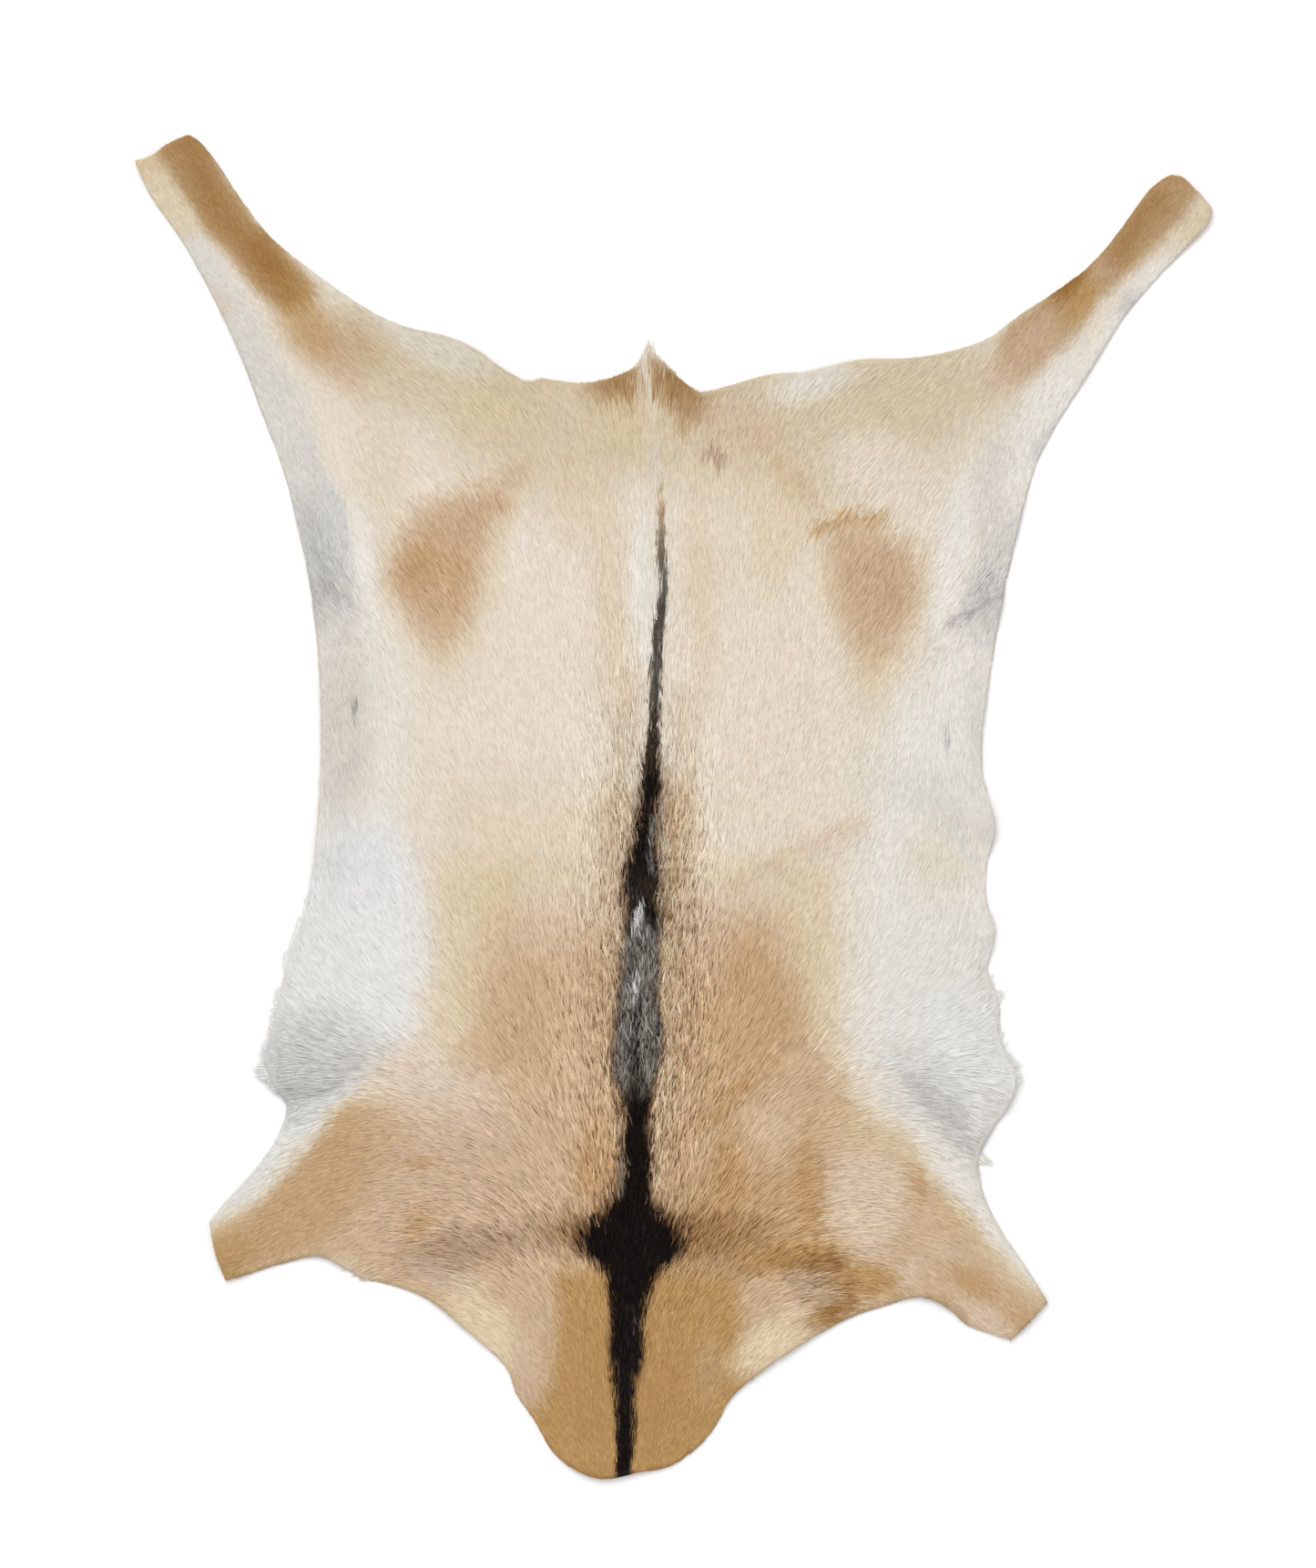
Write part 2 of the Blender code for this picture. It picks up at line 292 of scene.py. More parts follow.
PATCHES: dict[str, Oval] = {
    "left thigh, white rim": Oval(Tone.OYSTER, -180, 342, 52, 14, -20, 0.6),
    "left thigh, light": Oval(Tone.WARM_WHITE, -196, 270, 32, 23, 60, 0.2),
    "left haunch, sand": Oval(Tone.SAND, -215, 250, 34, 20, 96, 0.45, 0.6),
    "left thigh, dull": Oval(Tone.DEEP_SAND, -240, 345, 34, 17, -24, 0.85, 0.7),
    "left thigh, shade": Oval(Tone.MUD, -240, 345, 32, 17, -24, 0.3, 0.8),
    "left thigh, rosy": Oval(Tone.ROSY_FAWN, -250, 334, 32, 14, -60, 0.6),
    "left rump sand": Oval(Tone.DEEP_SAND, -130, 300, 34, 24, 0, 0.4),
    "left rump curls": Oval(Tone.TAN, -116, 246, 15, 7, 40, 0.4),
    "left thigh, tan": Oval(Tone.GOLD, -273, 360, 34, 15, 122, 0.6, 0.8),
    "left hind leg, white side": Oval(Tone.OYSTER, -337, 380, 84, 14, 122, 1.0, 0.35),
    "left hind leg, white haunch": Oval(Tone.OYSTER, -294, 288, 72, 21, 108, 0.9, 0.4),
    "left hind leg, rosy spot": Oval(Tone.ROSY_FAWN, -335, 375, 12, 7, 120, 0.3),
    "left hock, dark": Oval(Tone.DARK_CARAMEL, -298, 406, 20, 10, -50, 0.5),
    "left hoof, brown": Oval(Tone.HAZEL, -380, 484, 22, 13, 30, 0.75),
    "tail, haze": Oval(Tone.DEEP_SAND, -34, 290, 30, 26, 90, 0.6, 0.8),
    "tail, brown left": Oval(Tone.UMBER, -38, 312, 24, 13, 12, 0.8, 0.7),
    "tail, brown right": Oval(Tone.UMBER, 4, 308, 25, 14, -42, 0.9, 0.6),
    "tail, gold right": Oval(Tone.UMBER, 10, 288, 14, 6, 80, 0.5, 0.7),
    "tail, rosy right": Oval(Tone.ROSY_FAWN, 47, 282, 40, 25, -20, 0.45),
    "tail, smudge": Oval(Tone.MUD, 29, 261, 9, 5, -30, 0.9, 0.6),
    "rump, fawn fleck": Oval(Tone.FAWN, 70, 275, 16, 10, 0, 0.35),
    "rump, tan fleck": Oval(Tone.TAN, 88, 246, 16, 8, -40, 0.4),
    "right rump, white": Oval(Tone.WARM_WHITE, 104, 315, 34, 14, 10, 0.75),
    "right rump, sand": Oval(Tone.DEEP_SAND, 180, 305, 52, 24, 5, 0.15),
    "right rump, cream": Oval(Tone.CREAM, 150, 252, 36, 27, 0, 0.75),
    "right haunch, pale": Oval(Tone.OYSTER, 243, 238, 52, 22, 70, 0.8, 0.5),
    "right thigh, rosy": Oval(Tone.ROSY_FAWN, 262, 338, 38, 16, 48, 0.75),
    "right hock, dark": Oval(Tone.DARK_CARAMEL, 298, 387, 17, 8, 42, 0.95),
    "right hock, gold": Oval(Tone.GOLD, 304, 374, 20, 11, 60, 0.7),
    "right shank, lit": Oval(Tone.ROSY_FAWN, 320, 400, 15, 8, 46, 0.5),
    "right hind leg, white side": Oval(Tone.WARM_WHITE, 340, 352, 88, 17, 54, 1.0, 0.35),
    "right hind leg, cream haunch": Oval(Tone.WARM_WHITE, 276, 285, 60, 18, 68, 0.9, 0.5),
    # A small grey spot on the hind leg.
    "right hind leg, smudge": Oval(Tone.GREY, 338, 376, 12, 6, 50, 0.5),
    "right thigh, smudge": Oval(Tone.GREY, 276, 272, 16, 6, 60, 0.4),
    "left patch, heart": Oval(Tone.CARAMEL, -187, 178, 20, 15, 40, 0.5, 0.8),
    "left patch, gold": Oval(Tone.CARAMEL, -160, 170, 18, 14, 70, 0.25, 0.8),
    "left patch, light side": Oval(Tone.SAND, -133, 182, 34, 9, 84, 0.4, 0.8),
    "left patch, low end": Oval(Tone.DEEP_SAND, -164, 112, 22, 16, 60, 0.35, 0.9),
    "right patch, heart": Oval(Tone.TAN, 158, 164, 26, 18, 110, 0.5, 0.8),
    "right patch, low end": Oval(Tone.SAND, 146, 92, 24, 15, 80, 0.5, 0.8),
    "right back, butter": Oval(Tone.BUTTER, 62, 120, 120, 46, 90, 0.2, 0.5),
    "right loin, sand": Oval(Tone.SAND, 60, 214, 50, 44, 0, 0.3, 0.6),
    "right loin, cream": Oval(Tone.CREAM, 58, -20, 46, 15, -8, 0.6, 0.8),
    "right rump, fawn": Oval(Tone.FAWN, 92, 236, 26, 11, -48, 0.45),
    "right rump, sand fleck": Oval(Tone.SAND, 80, 200, 40, 16, 80, 0.5),
    "left groin, shade": Oval(Tone.GREY, -255, 154, 32, 17, 110, 1.0),
    "left groin, upper shade": Oval(Tone.GREY, -268, 204, 32, 13, 104, 0.6),
    "left groin, white strip": Oval(Tone.WARM_WHITE, -230, 168, 58, 8, 95, 0.85, 0.4),
    "left groin, heart": Oval(Tone.CREASE, -253, 154, 20, 11, 116, 0.3, 0.8),
    "right groin, shade": Oval(Tone.GREY, 227, 149, 22, 11, 62, 0.8),
    "right groin, white strip": Oval(Tone.WARM_WHITE, 208, 190, 58, 12, 82, 0.9, 0.4),
    "left flank": Oval(Tone.WARM_WHITE, -236, 54, 92, 34, 90, 0.7, 0.5),
    "left flank, dull rim": Oval(Tone.OYSTER, -250, 62, 84, 23, 90, 1.0, 0.6),
    "left flank, warm": Oval(Tone.DUSK, -240, 60, 60, 20, 90, 0.14, 0.8),
    "left side, cool": Oval(Tone.BLUE_WHITE, -232, -42, 30, 26, 90, 0.7),
    "right flank": Oval(Tone.WARM_WHITE, 216, 76, 72, 24, 93, 0.9),
    "right flank, dull rim": Oval(Tone.OYSTER, 230, 46, 60, 11, 94, 0.75, 0.7),
    # Painted soft shadow on the right belly.
    "right belly, dull": Oval(Tone.OYSTER, 198, 10, 46, 16, -10, 0.65, 0.8),
    "right belly, sand": Oval(Tone.SAND, 198, -40, 26, 24, 0, 0.35, 0.8),
    "left column of sand": Oval(Tone.DEEP_SAND, -46, 160, 80, 13, 91, 0.4, 0.8),
    "left column, upper": Oval(Tone.DEEP_SAND, -72, 226, 34, 20, 90, 0.35),
    "right column of sand": Oval(Tone.DEEP_SAND, 20, 160, 66, 12, 94, 0.38, 0.8),
    "left halo of the line": Oval(Tone.WARM_WHITE, -22, 158, 64, 8, 92, 0.8),
    "left armpit": Oval(Tone.PALE_GREY, -264, -184, 46, 32, 16, 0.85, 0.5),
    "left armpit, curls": Oval(Tone.GREY, -254, -190, 32, 13, 14, 0.5, 0.7),
    "left armpit, lower end": Oval(Tone.PALE_GREY, -276, -222, 24, 13, -62, 0.8, 0.5),
    "right side, cool": Oval(Tone.WHITE, 220, -178, 58, 40, -60, 0.8),
    "right armpit": Oval(Tone.PALE_GREY, 198, -216, 46, 22, -42, 0.8, 0.8),
    "right armpit, shade": Oval(Tone.GREY, 206, -232, 32, 9, -42, 0.35, 0.8),
    "left back, deep fawn": Oval(Tone.CARAMEL, -110, -162, 44, 26, 80, 0.2),
    "left shoulder, light": Oval(Tone.ROSY_WHITE, -175, -214, 48, 28, -24, 1.0, 0.6),
    "left shoulder, cream": Oval(Tone.CREAM, -176, -211, 40, 22, -24, 0.35, 0.8),
    "left shoulder, gold": Oval(Tone.CARAMEL, -250, -240, 24, 10, 44, 0.35),
    "left withers, gold": Oval(Tone.CARAMEL, -58, -266, 34, 18, 90, 0.6),
    "left foreleg": Oval(Tone.CARAMEL, -270, -290, 80, 27, 44, 0.42, 0.4),
    "left foot": Oval(Tone.GOLD, -332, -336, 22, 18, 40, 0.65),
    "left foreleg, sandy rim": Oval(Tone.SAND, -262, -336, 24, 6, 0, 0.6),
    "left chest, rosy": Oval(Tone.ROSY_FAWN, -156, -272, 64, 52, 10, 0.75),
    "left chest, fleck": Oval(Tone.CARAMEL, -190, -262, 13, 6, 0, 0.5),
    "left chest, long fleck": Oval(Tone.CARAMEL, -190, -310, 19, 9, 70, 0.45),
    "left chest, mottled": Oval(Tone.MUD, -158, -330, 42, 15, 8, 0.65),
    "left chest, dark curls": Oval(Tone.MUD, -100, -315, 34, 14, 0, 0.5),
    "left throat, mauve": Oval(Tone.MAUVE, -172, -348, 26, 9, -20, 0.65),
    "left throat, cream": Oval(Tone.BUTTER, -138, -385, 38, 17, -46, 0.85, 0.5),
    "left throat, rosy": Oval(Tone.ROSY_FAWN, -108, -406, 42, 13, 84, 0.55),
    "right back, caramel": Oval(Tone.CARAMEL, 60, -112, 34, 18, 70, 0.3, 0.8),
    "right front, caramel": Oval(Tone.CARAMEL, 44, -160, 70, 42, 80, 0.3, 0.7),
    "right shoulder, caramel": Oval(Tone.CARAMEL, 76, -166, 34, 18, 66, 0.25, 0.8),
    "right back, rosy": Oval(Tone.ROSY_FAWN, 20, -104, 34, 18, 90, 0.4),
    "right withers, rosy": Oval(Tone.ROSY_WHITE, 74, -248, 30, 20, 0, 0.42, 0.8),
    "right withers, deep": Oval(Tone.CARAMEL, 60, -294, 56, 38, 0, 0.45, 0.8),
    "right withers, gold": Oval(Tone.CARAMEL, 40, -268, 36, 14, 90, 0.5),
    "right chest, gold": Oval(Tone.CARAMEL, 104, -280, 44, 11, 92, 0.65),
    "right chest, rosy white": Oval(Tone.ROSY_WHITE, 144, -290, 46, 28, 86, 0.95, 0.35),
    "right shoulder, sand": Oval(Tone.SAND, 155, -243, 38, 12, -18, 0.55, 0.6),
    "right shoulder, gold": Oval(Tone.GOLD, 130, -232, 30, 15, -30, 0.15, 0.9),
    "right chest, fleck": Oval(Tone.CARAMEL, 181, -280, 15, 6, 96, 0.55),
    "right foreleg, gold": Oval(Tone.CARAMEL, 212, -306, 26, 9, -56, 0.2),
    "right foreleg, light": Oval(Tone.ROSY_WHITE, 212, -340, 30, 7, -40, 0.4),
    "right shin, gold": Oval(Tone.CARAMEL, 222, -354, 20, 9, -30, 0.6),
    "right foot, light": Oval(Tone.ROSY_WHITE, 232, -380, 26, 9, -20, 0.75),
    "right foot": Oval(Tone.GOLD, 258, -380, 16, 12, -40, 0.35),
    "right withers, brown": Oval(Tone.UMBER, 34, -316, 42, 17, -4, 0.65),
    "right chest, brown": Oval(Tone.GOLD, 86, -335, 38, 12, 2, 0.9),
    "right throat, mauve": Oval(Tone.MUD, 106, -358, 24, 12, -24, 0.6),
    "right chest, dark": Oval(Tone.UMBER, 107, -341, 20, 7, -4, 0.95),
    "right chest, gold corner": Oval(Tone.CARAMEL, 143, -354, 24, 12, -8, 0.85),
    "right chest, curls": Oval(Tone.UMBER, 127, -360, 18, 4, -68, 0.8),
    "right throat, caramel": Oval(Tone.DARK_CARAMEL, 110, -377, 26, 7, 20, 0.8),
    "right throat, cream": Oval(Tone.BUTTER, 72, -396, 34, 15, 38, 0.85, 0.5),
    "right elbow, light": Oval(Tone.ROSY_WHITE, 176, -346, 14, 7, 70, 0.6),
    "neck, rosy": Oval(Tone.ROSY_FAWN, 24, -416, 24, 12, 90, 0.3),
    "neck, gold left": Oval(Tone.CARAMEL, -66, -420, 60, 14, 86, 0.3),
    "neck, gold right": Oval(Tone.CARAMEL, -4, -440, 46, 16, 84, 0.35),
    "left of the diamond": Oval(Tone.UMBER, -78, -314, 14, 13, 0, 0.6, 0.7),
    "right of the diamond": Oval(Tone.UMBER, 18, -314, 22, 16, 0, 0.65, 0.7),
}

STREAKS: dict[str, Streak] = {
    "left hind leg, dark band": Streak(Tone.DARK_CARAMEL, 7, 8, 0.5, (
        (-356, 490), (-342, 454), (-322, 424), (-302, 402), (-285, 382),
    )),
    "left hind leg, light rim": Streak(Tone.WARM_WHITE, 3, 4, 0.6, (
        (-312, 441), (-292, 420), (-264, 398), (-236, 377), (-206, 360),
    )),
    "left hoof": Streak(Tone.SAND, 13, 7, 0.8, ((-390, 474), (-377, 452), (-365, 434))),
    "right hind leg, dark shank": Streak(Tone.DARK_CARAMEL, 6, 8, 0.5, ((328, 408), (344, 430), (360, 450))),
    "right hoof": Streak(Tone.SAND, 9, 6, 0.85, ((402, 446), (388, 432), (374, 416))),
    "right shank, light rim": Streak(Tone.WARM_WHITE, 8, 6, 0.45, ((374, 414), (360, 400), (344, 386))),
    "right patch, arc": Streak(Tone.CARAMEL, 3, 4, 0.85, ((102, 204), (118, 211), (136, 215), (154, 213))),
    "left patch, curl": Streak(Tone.UMBER, 0.8, 1.4, 0.6, (
        (-134, 227), (-127, 225), (-122, 221), (-119, 226),
    )),
    "tail, light middle": Streak(Tone.WARM_WHITE, 2.4, 3, 0.8, (
        (-20, 340), (-20, 322), (-17, 304), (-14, 292),
    )),
    "tail, light rim": Streak(Tone.OYSTER, 2, 4, 0.55, (
        (-60, 320), (-34, 329), (-20, 345), (-6, 332), (22, 307),
    )),
    "tail, light left": Streak(Tone.ROSY_WHITE, 3, 3, 0.7, ((-27, 318), (-25, 304), (-20, 290))),
    "tail, light thread": Streak(Tone.WARM_WHITE, 1.6, 2, 0.35, ((-13, 290), (-11, 270), (-11, 250))),
    "below the tail, grey": Streak(Tone.OYSTER, 4, 4, 0.35, ((-15, 278), (-13, 256), (-13, 236))),
    "left elbow, light rim": Streak(Tone.CREAM, 3, 5, 0.7, ((-264, -335), (-242, -342), (-222, -353))),
    "left foreleg, white edge": Streak(Tone.WARM_WHITE, 7, 7, 0.75, (
        (-266, -238), (-288, -262), (-314, -286), (-344, -304),
    )),
    "right foreleg, white edge": Streak(Tone.WARM_WHITE, 5, 6, 0.8, (
        (226, -262), (236, -292), (252, -324), (268, -350),
    )),
    "tan slant over the loin": Streak(Tone.FAWN, 5, 9, 0.5, ((136, -14), (90, -31), (44, -56))),
    "tan slant over the withers": Streak(Tone.CARAMEL, 5, 8, 0.55, ((56, -204), (26, -226), (0, -246))),
    # Painted shade in the armpits' creases.
    "left armpit, dark line": Streak(Tone.CREASE, 3, 6, 0.5, ((-286, -208), (-268, -212), (-252, -206))),
    "right armpit, dark line": Streak(Tone.CREASE, 3, 7, 0.35, ((172, -202), (194, -220), (218, -240))),
    "right armpit, dark edge": Streak(Tone.GREY, 5, 8, 0.3, ((200, -242), (218, -252), (230, -260))),
    "right armpit, white strip": Streak(Tone.WARM_WHITE, 4, 5, 0.8, (
        (174, -226), (192, -246), (210, -268), (222, -286),
    )),
    "right elbow, dark": Streak(Tone.UMBER, 3, 5, 0.5, ((188, -364), (202, -370), (216, -382))),
    "left of the line, haze": Streak(Tone.STRAW, 8, 16, 0.35, ((-32, 90), (-36, 40), (-42, -20))),
    "left of the line, brown": Streak(Tone.TAN, 8, 13, 0.48, (
        (-40, 4), (-47, -60), (-54, -110), (-56, -180), (-50, -280),
    )),
    "right of the line, haze": Streak(Tone.STRAW, 7, 16, 0.35, ((8, 80), (7, 40), (7, -10))),
    "right of the line, brown": Streak(Tone.TAN, 9, 13, 0.52, (
        (6, 10), (6, -40), (6, -90), (8, -140), (6, -190), (2, -280),
    )),
    "right of the line, rusty": Streak(Tone.UMBER, 3, 5, 0.5, ((-5, 26), (-4, 0), (-2, -40), (-2, -86))),
    "neck, rim": Streak(Tone.UMBER, 1.5, 4, 0.35, (
        (-94, -472), (-78, -486), (-60, -495), (-24, -493), (0, -488), (16, -478),
    )),
    "under the diamond, brown": Streak(Tone.UMBER, 5, 8, 0.45, (
        (2, -338), (30, -341), (58, -343), (82, -337),
    )),
}

# Creases are dark lines of painted shade that press the coat down as well, and that stay in place where
# markings wander.
CREASES_WITH_PAINTED_SHADE: dict[str, Streak] = {
    "left groin": Streak(Tone.CREASE, 1.6, 3, 0.7, ((-262, 166), (-248, 156), (-233, 145))),
    "left groin, side fold": Streak(Tone.CREASE, 1.2, 3, 0.4, ((-246, 178), (-238, 160))),
    "right groin": Streak(Tone.CREASE, 2, 3, 1.0, ((204, 136), (214, 140), (223, 144))),
    "right groin, fold": Streak(Tone.CREASE, 1.6, 3, 0.7, ((223, 146), (243, 157))),
    "left belly slit": Streak(Tone.CREASE, 1.6, 1.6, 1.0, ((-237, 67), (-235, 77))),
    "left belly": Streak(Tone.GREY, 2, 4, 0.5, ((-232, 40), (-242, 26), (-255, 12))),
    "right belly slit": Streak(Tone.CREASE, 1.4, 1.6, 0.85, ((204, 43), (202, 57))),
    "right belly": Streak(Tone.PALE_GREY, 3, 4, 0.7, ((205, -15), (214, -26), (225, -40))),
    "left armpit": Streak(Tone.CREASE, 1.6, 3, 0.5, ((-276, -202), (-256, -197), (-238, -194))),
    "right armpit": Streak(Tone.CREASE, 1.8, 3.5, 0.5, ((180, -204), (198, -216), (216, -228))),
}

STRIPE: tuple[StripeRow, ...] = tuple(StripeRow(*row) for row in (
    (246, -9.8, -8.4, 0.4, 0.4, Tone.SAND), (236, -10.4, -7.8, 0.4, 0.4, Tone.SAND),
    (224, -11, -7.2, 0.4, 0.4, Tone.TAN), (213, -11.3, -7, 0.4, 0.4, Tone.MUD),
    (201, -11.4, -6.4, 0.6, 0.5, Tone.PEWTER), (188, -11.6, -5.6, 0.8, 0.5, Tone.OLIVE),
    (174, -10.8, -4.8, 1, 0.6, Tone.OLIVE), (164, -9.6, -4, 1, 0.6, Tone.OLIVE),
    (154, -11.8, -4.6, 0.6, 0.6, Tone.SLATE), (140, -13.4, -6.4, 0.6, 0.6, Tone.SLATE),
    (120, -15.2, -7.6, 0.6, 0.6, Tone.SLATE), (100, -16.8, -9.4, 0.6, 0.6, Tone.SLATE),
    (80, -17.3, -10.3, 0.8, 0.8, Tone.SLATE), (66, -17.4, -10.6, 1, 1.2, Tone.SOOT),
    (54, -17.8, -11, 1.6, 1.6, Tone.SOOT), (40, -20.5, -11.2, 2.4, 3, Tone.SOOT),
    (20, -22.6, -11, 3, 5, Tone.BLACK), (0, -24, -12, 4, 7, Tone.BLACK), (-16, -27, -13, 5, 7, Tone.BLACK),
    (-30, -30.5, -12.6, 5, 6, Tone.BLACK), (-44, -34.5, -11.5, 5, 6, Tone.BLACK),
    (-60, -36, -11.5, 5, 6, Tone.SOOT), (-80, -34.5, -10.5, 5, 6, Tone.BLACK),
    (-88, -35, -10, 4, 3, Tone.SOOT), (-97, -36, -10, 4, 3, Tone.IRON), (-120, -38.6, -11, 4, 3, Tone.IRON),
    (-140, -40, -12.4, 4, 3, Tone.IRON), (-160, -42.2, -9, 4, 3, Tone.IRON),
    (-176, -43.5, -7.6, 4, 3, Tone.IRON), (-190, -45, -10.5, 4, 3, Tone.IRON),
    (-200, -42.5, -15, 5, 3, Tone.IRON), (-209, -38, -17, 6, 4, Tone.SLATE),
    (-220, -35, -18.6, 7, 5, Tone.BLACK), (-240, -34.5, -18, 7, 5, Tone.BLACK),
    (-262, -36, -17.5, 7, 5, Tone.BLACK), (-280, -37.5, -18.5, 8, 5, Tone.BLACK),
    (-290, -41, -17.5, 11, 8, Tone.BLACK), (-300, -50.5, -11, 13, 11, Tone.BLACK),
    (-310, -63, -1, 14, 13, Tone.BLACK), (-320, -69, 5, 13, 12, Tone.BLACK),
    (-330, -65, 5.5, 10, 8, Tone.BLACK), (-340, -52, -6.5, 5, 6, Tone.BLACK),
    (-350, -47.6, -14.5, 3, 4, Tone.BLACK), (-362, -47.2, -18, 3, 4, Tone.BLACK),
    (-374, -45.8, -20.4, 2.5, 3, Tone.BLACK), (-386, -45, -24, 2.5, 2.5, Tone.BLACK),
    (-397, -45.4, -20.6, 2.5, 3, Tone.BLACK), (-408, -45.6, -21.8, 2.5, 3, Tone.BLACK),
    (-424, -44.8, -27, 2, 2.5, Tone.BLACK), (-440, -43.4, -28.2, 1.6, 1.6, Tone.BLACK),
    (-460, -42, -27.2, 1.4, 1.4, Tone.BLACK), (-480, -41.4, -29.8, 1.2, 1.2, Tone.BLACK),
    (-490, -42, -31.6, 1.2, 1.2, Tone.BLACK), (-510, -42.4, -32.4, 1.2, 1.2, Tone.BLACK),
))

STRIPE_FLECKS: dict[str, Streak] = {
    "grey, dark middle": Streak(Tone.BLACK, 1.6, 2.5, 0.8, (
        (-26, -146), (-27, -165), (-28, -190), (-27, -215),
    )),
    "grey, dark end": Streak(Tone.SOOT, 4, 5, 0.7, ((-27, -192), (-27, -212))),
    "grey, dark top": Streak(Tone.SLATE, 2.5, 3, 0.7, ((-29, -102), (-30, -124))),
    "white tuft": Streak(Tone.WHITE, 3, 3, 1.0, ((-24.5, -75), (-26, -82), (-28, -89))),
    "white tuft, foot": Streak(Tone.GREY, 3.5, 4, 0.4, ((-22, -86), (-17, -96))),
    "second white tuft": Streak(Tone.WHITE, 2.9, 2.6, 1.0, ((-28.5, -127), (-29.5, -141))),
    "grey thread": Streak(Tone.CREASE, 1.6, 2.4, 0.85, (
        (-14.5, -8), (-16.5, -22), (-17.5, -34), (-16, -48),
    )),
    "white hairs over the thin part": Streak(Tone.WARM_WHITE, 1.2, 1.4, 0.8, (
        (-14, 156), (-11.5, 164), (-9, 173),
    )),
    "grey beside the black": Streak(Tone.IRON, 1.8, 2.5, 0.7, ((-38.5, -254), (-39, -286))),
    "grey hairs on the neck": Streak(Tone.CREASE, 0.7, 1.4, 0.45, ((-33, -374), (-29, -380), (-25, -388))),
}

# The parting of the hair, from the tail to the neck.
SPINE: tuple[Place, ...] = (
    (-18, 329), (-12, 231), (-7, 166), (-12, 112), (-15, 58), (-17, 24), (-22, -47), (-26, -158),
    (-28, -192), (-26, -239), (-29, -320), (-31, -368), (-36, -456), (-37, -496),
)

COMB: tuple[CombRow, ...] = tuple(CombRow(*row) for row in (
    (352, 0, 20, 55, 55, 38), (308, 22, 42, 57, 52, 38), (274, 16, 34, 46, 36, 28),
    (230, 8, 24, 38, 36, 16), (187, 8, 18, 32, 33, 12), (143, 8, 16, 30, 38, 42),
    (99, 8, 17, 29, 31, 12), (58, 8, 18, 29, 16, -4), (14, 10, 21, 30, 12, -12),
    (-26, 9, 21, 30, 22, 2), (-67, 7, 20, 30, 26, 8), (-104, 8, 22, 32, 38, 20),
    (-136, 8, 24, 40, 48, 42), (-158, 10, 30, 46, 62, 60), (-179, 10, 32, 52, 74, 80),
    (-201, 14, 41, 66, 90, 104), (-223, 18, 45, 76, 96, 116), (-244, 19, 48, 81, 101, 122),
    (-266, 21, 54, 86, 106, 122), (-287, 24, 56, 90, 108, 124), (-309, 27, 53, 90, 112, 127),
    (-331, 28, 52, 86, 114, 133), (-352, 32, 58, 82, 125, 135), (-375, 30, 60, 90, 120, 140),
    (-402, 24, 48, 70, 80, 80), (-439, 23, 40, 45, 45, 45), (-483, 34, 45, 45, 45, 45),
))
COMB_SPACING = 50.0

# Where the hair is longer or shorter than it is on the back, in millimetres.
LENGTHS: dict[str, Growth] = {
    "tail tuft": Growth(-16, 320, 34, 26, 90, 9),
    "left belly": Growth(-268, -110, 120, 44, 90, 5),
    "right belly": Growth(226, -130, 120, 44, 90, 5),
    "left armpit": Growth(-280, -190, 50, 40, 40, 4),
    "right armpit": Growth(235, -215, 50, 40, 120, 4),
    "left hind shank": Growth(-350, 430, 110, 60, 118, -4),
    "right hind shank": Growth(355, 415, 110, 60, 50, -4),
    "left foreleg": Growth(-320, -310, 60, 60, 40, -3),
    "right foreleg": Growth(255, -355, 60, 60, -50, -3),
    "left groin": Growth(-262, 200, 80, 34, 85, -2),
    "right groin": Growth(240, 200, 80, 34, 95, -2),
    "neck": Growth(-30, -440, 90, 90, 0, -3.5),
    "mane": Growth(-28, -160, 100, 16, 91, 1),
    "beside the line": Growth(-22, -100, 200, 50, 91, -3),
    "right elbow": Growth(228, -256, 10, 10, 0, 8),
}

# How much narrower the locks are than on the back, as a share.
FINE: dict[str, Growth] = {
    "thin part of the line": Growth(-11, 150, 120, 16, 93, 0.35),
    "line": Growth(-24, -60, 160, 34, 94, 0.3),
    "diamond": Growth(-30, -315, 90, 34, 0, 0.3),
    "neck": Growth(-35, -430, 90, 60, 90, 0.3),
}

# Where the skin ends further in from the solid's rim than elsewhere, in millimetres.
RIM: dict[str, Growth] = {
    "left side": Growth(-292, -136, 40, 20, 78, 3),
    "left armpit": Growth(-306, -202, 26, 22, 50, 5.2),
    "right side": Growth(242, -140, 40, 16, 84, 1.5),
    "right armpit": Growth(256, -206, 30, 18, 110, 3),
    "left throat": Growth(-160, -390, 66, 22, -42, 2.5),
    "neck corner": Growth(-82, -488, 26, 20, -30, 2.5),
    "right rump": Growth(130, 326, 160, 20, 8, 2.4),
    "left rump": Growth(-110, 322, 60, 18, -6, 1.6),
    "left elbow": Growth(-226, -348, 44, 16, -22, 2.8),
    "tail": Growth(12, 320, 34, 20, -40, 2),
    "right hind leg": Growth(310, 414, 84, 14, 50, 2.6),
    "right elbow": Growth(206, -372, 34, 14, -30, 2.6),
    "right foot": Growth(234, -392, 26, 10, -14, 1.6),
    "left foot": Growth(-343, -334, 22, 12, -70, 2.2),
    "left hoof": Growth(-380, 492, 26, 12, 20, 3),
}

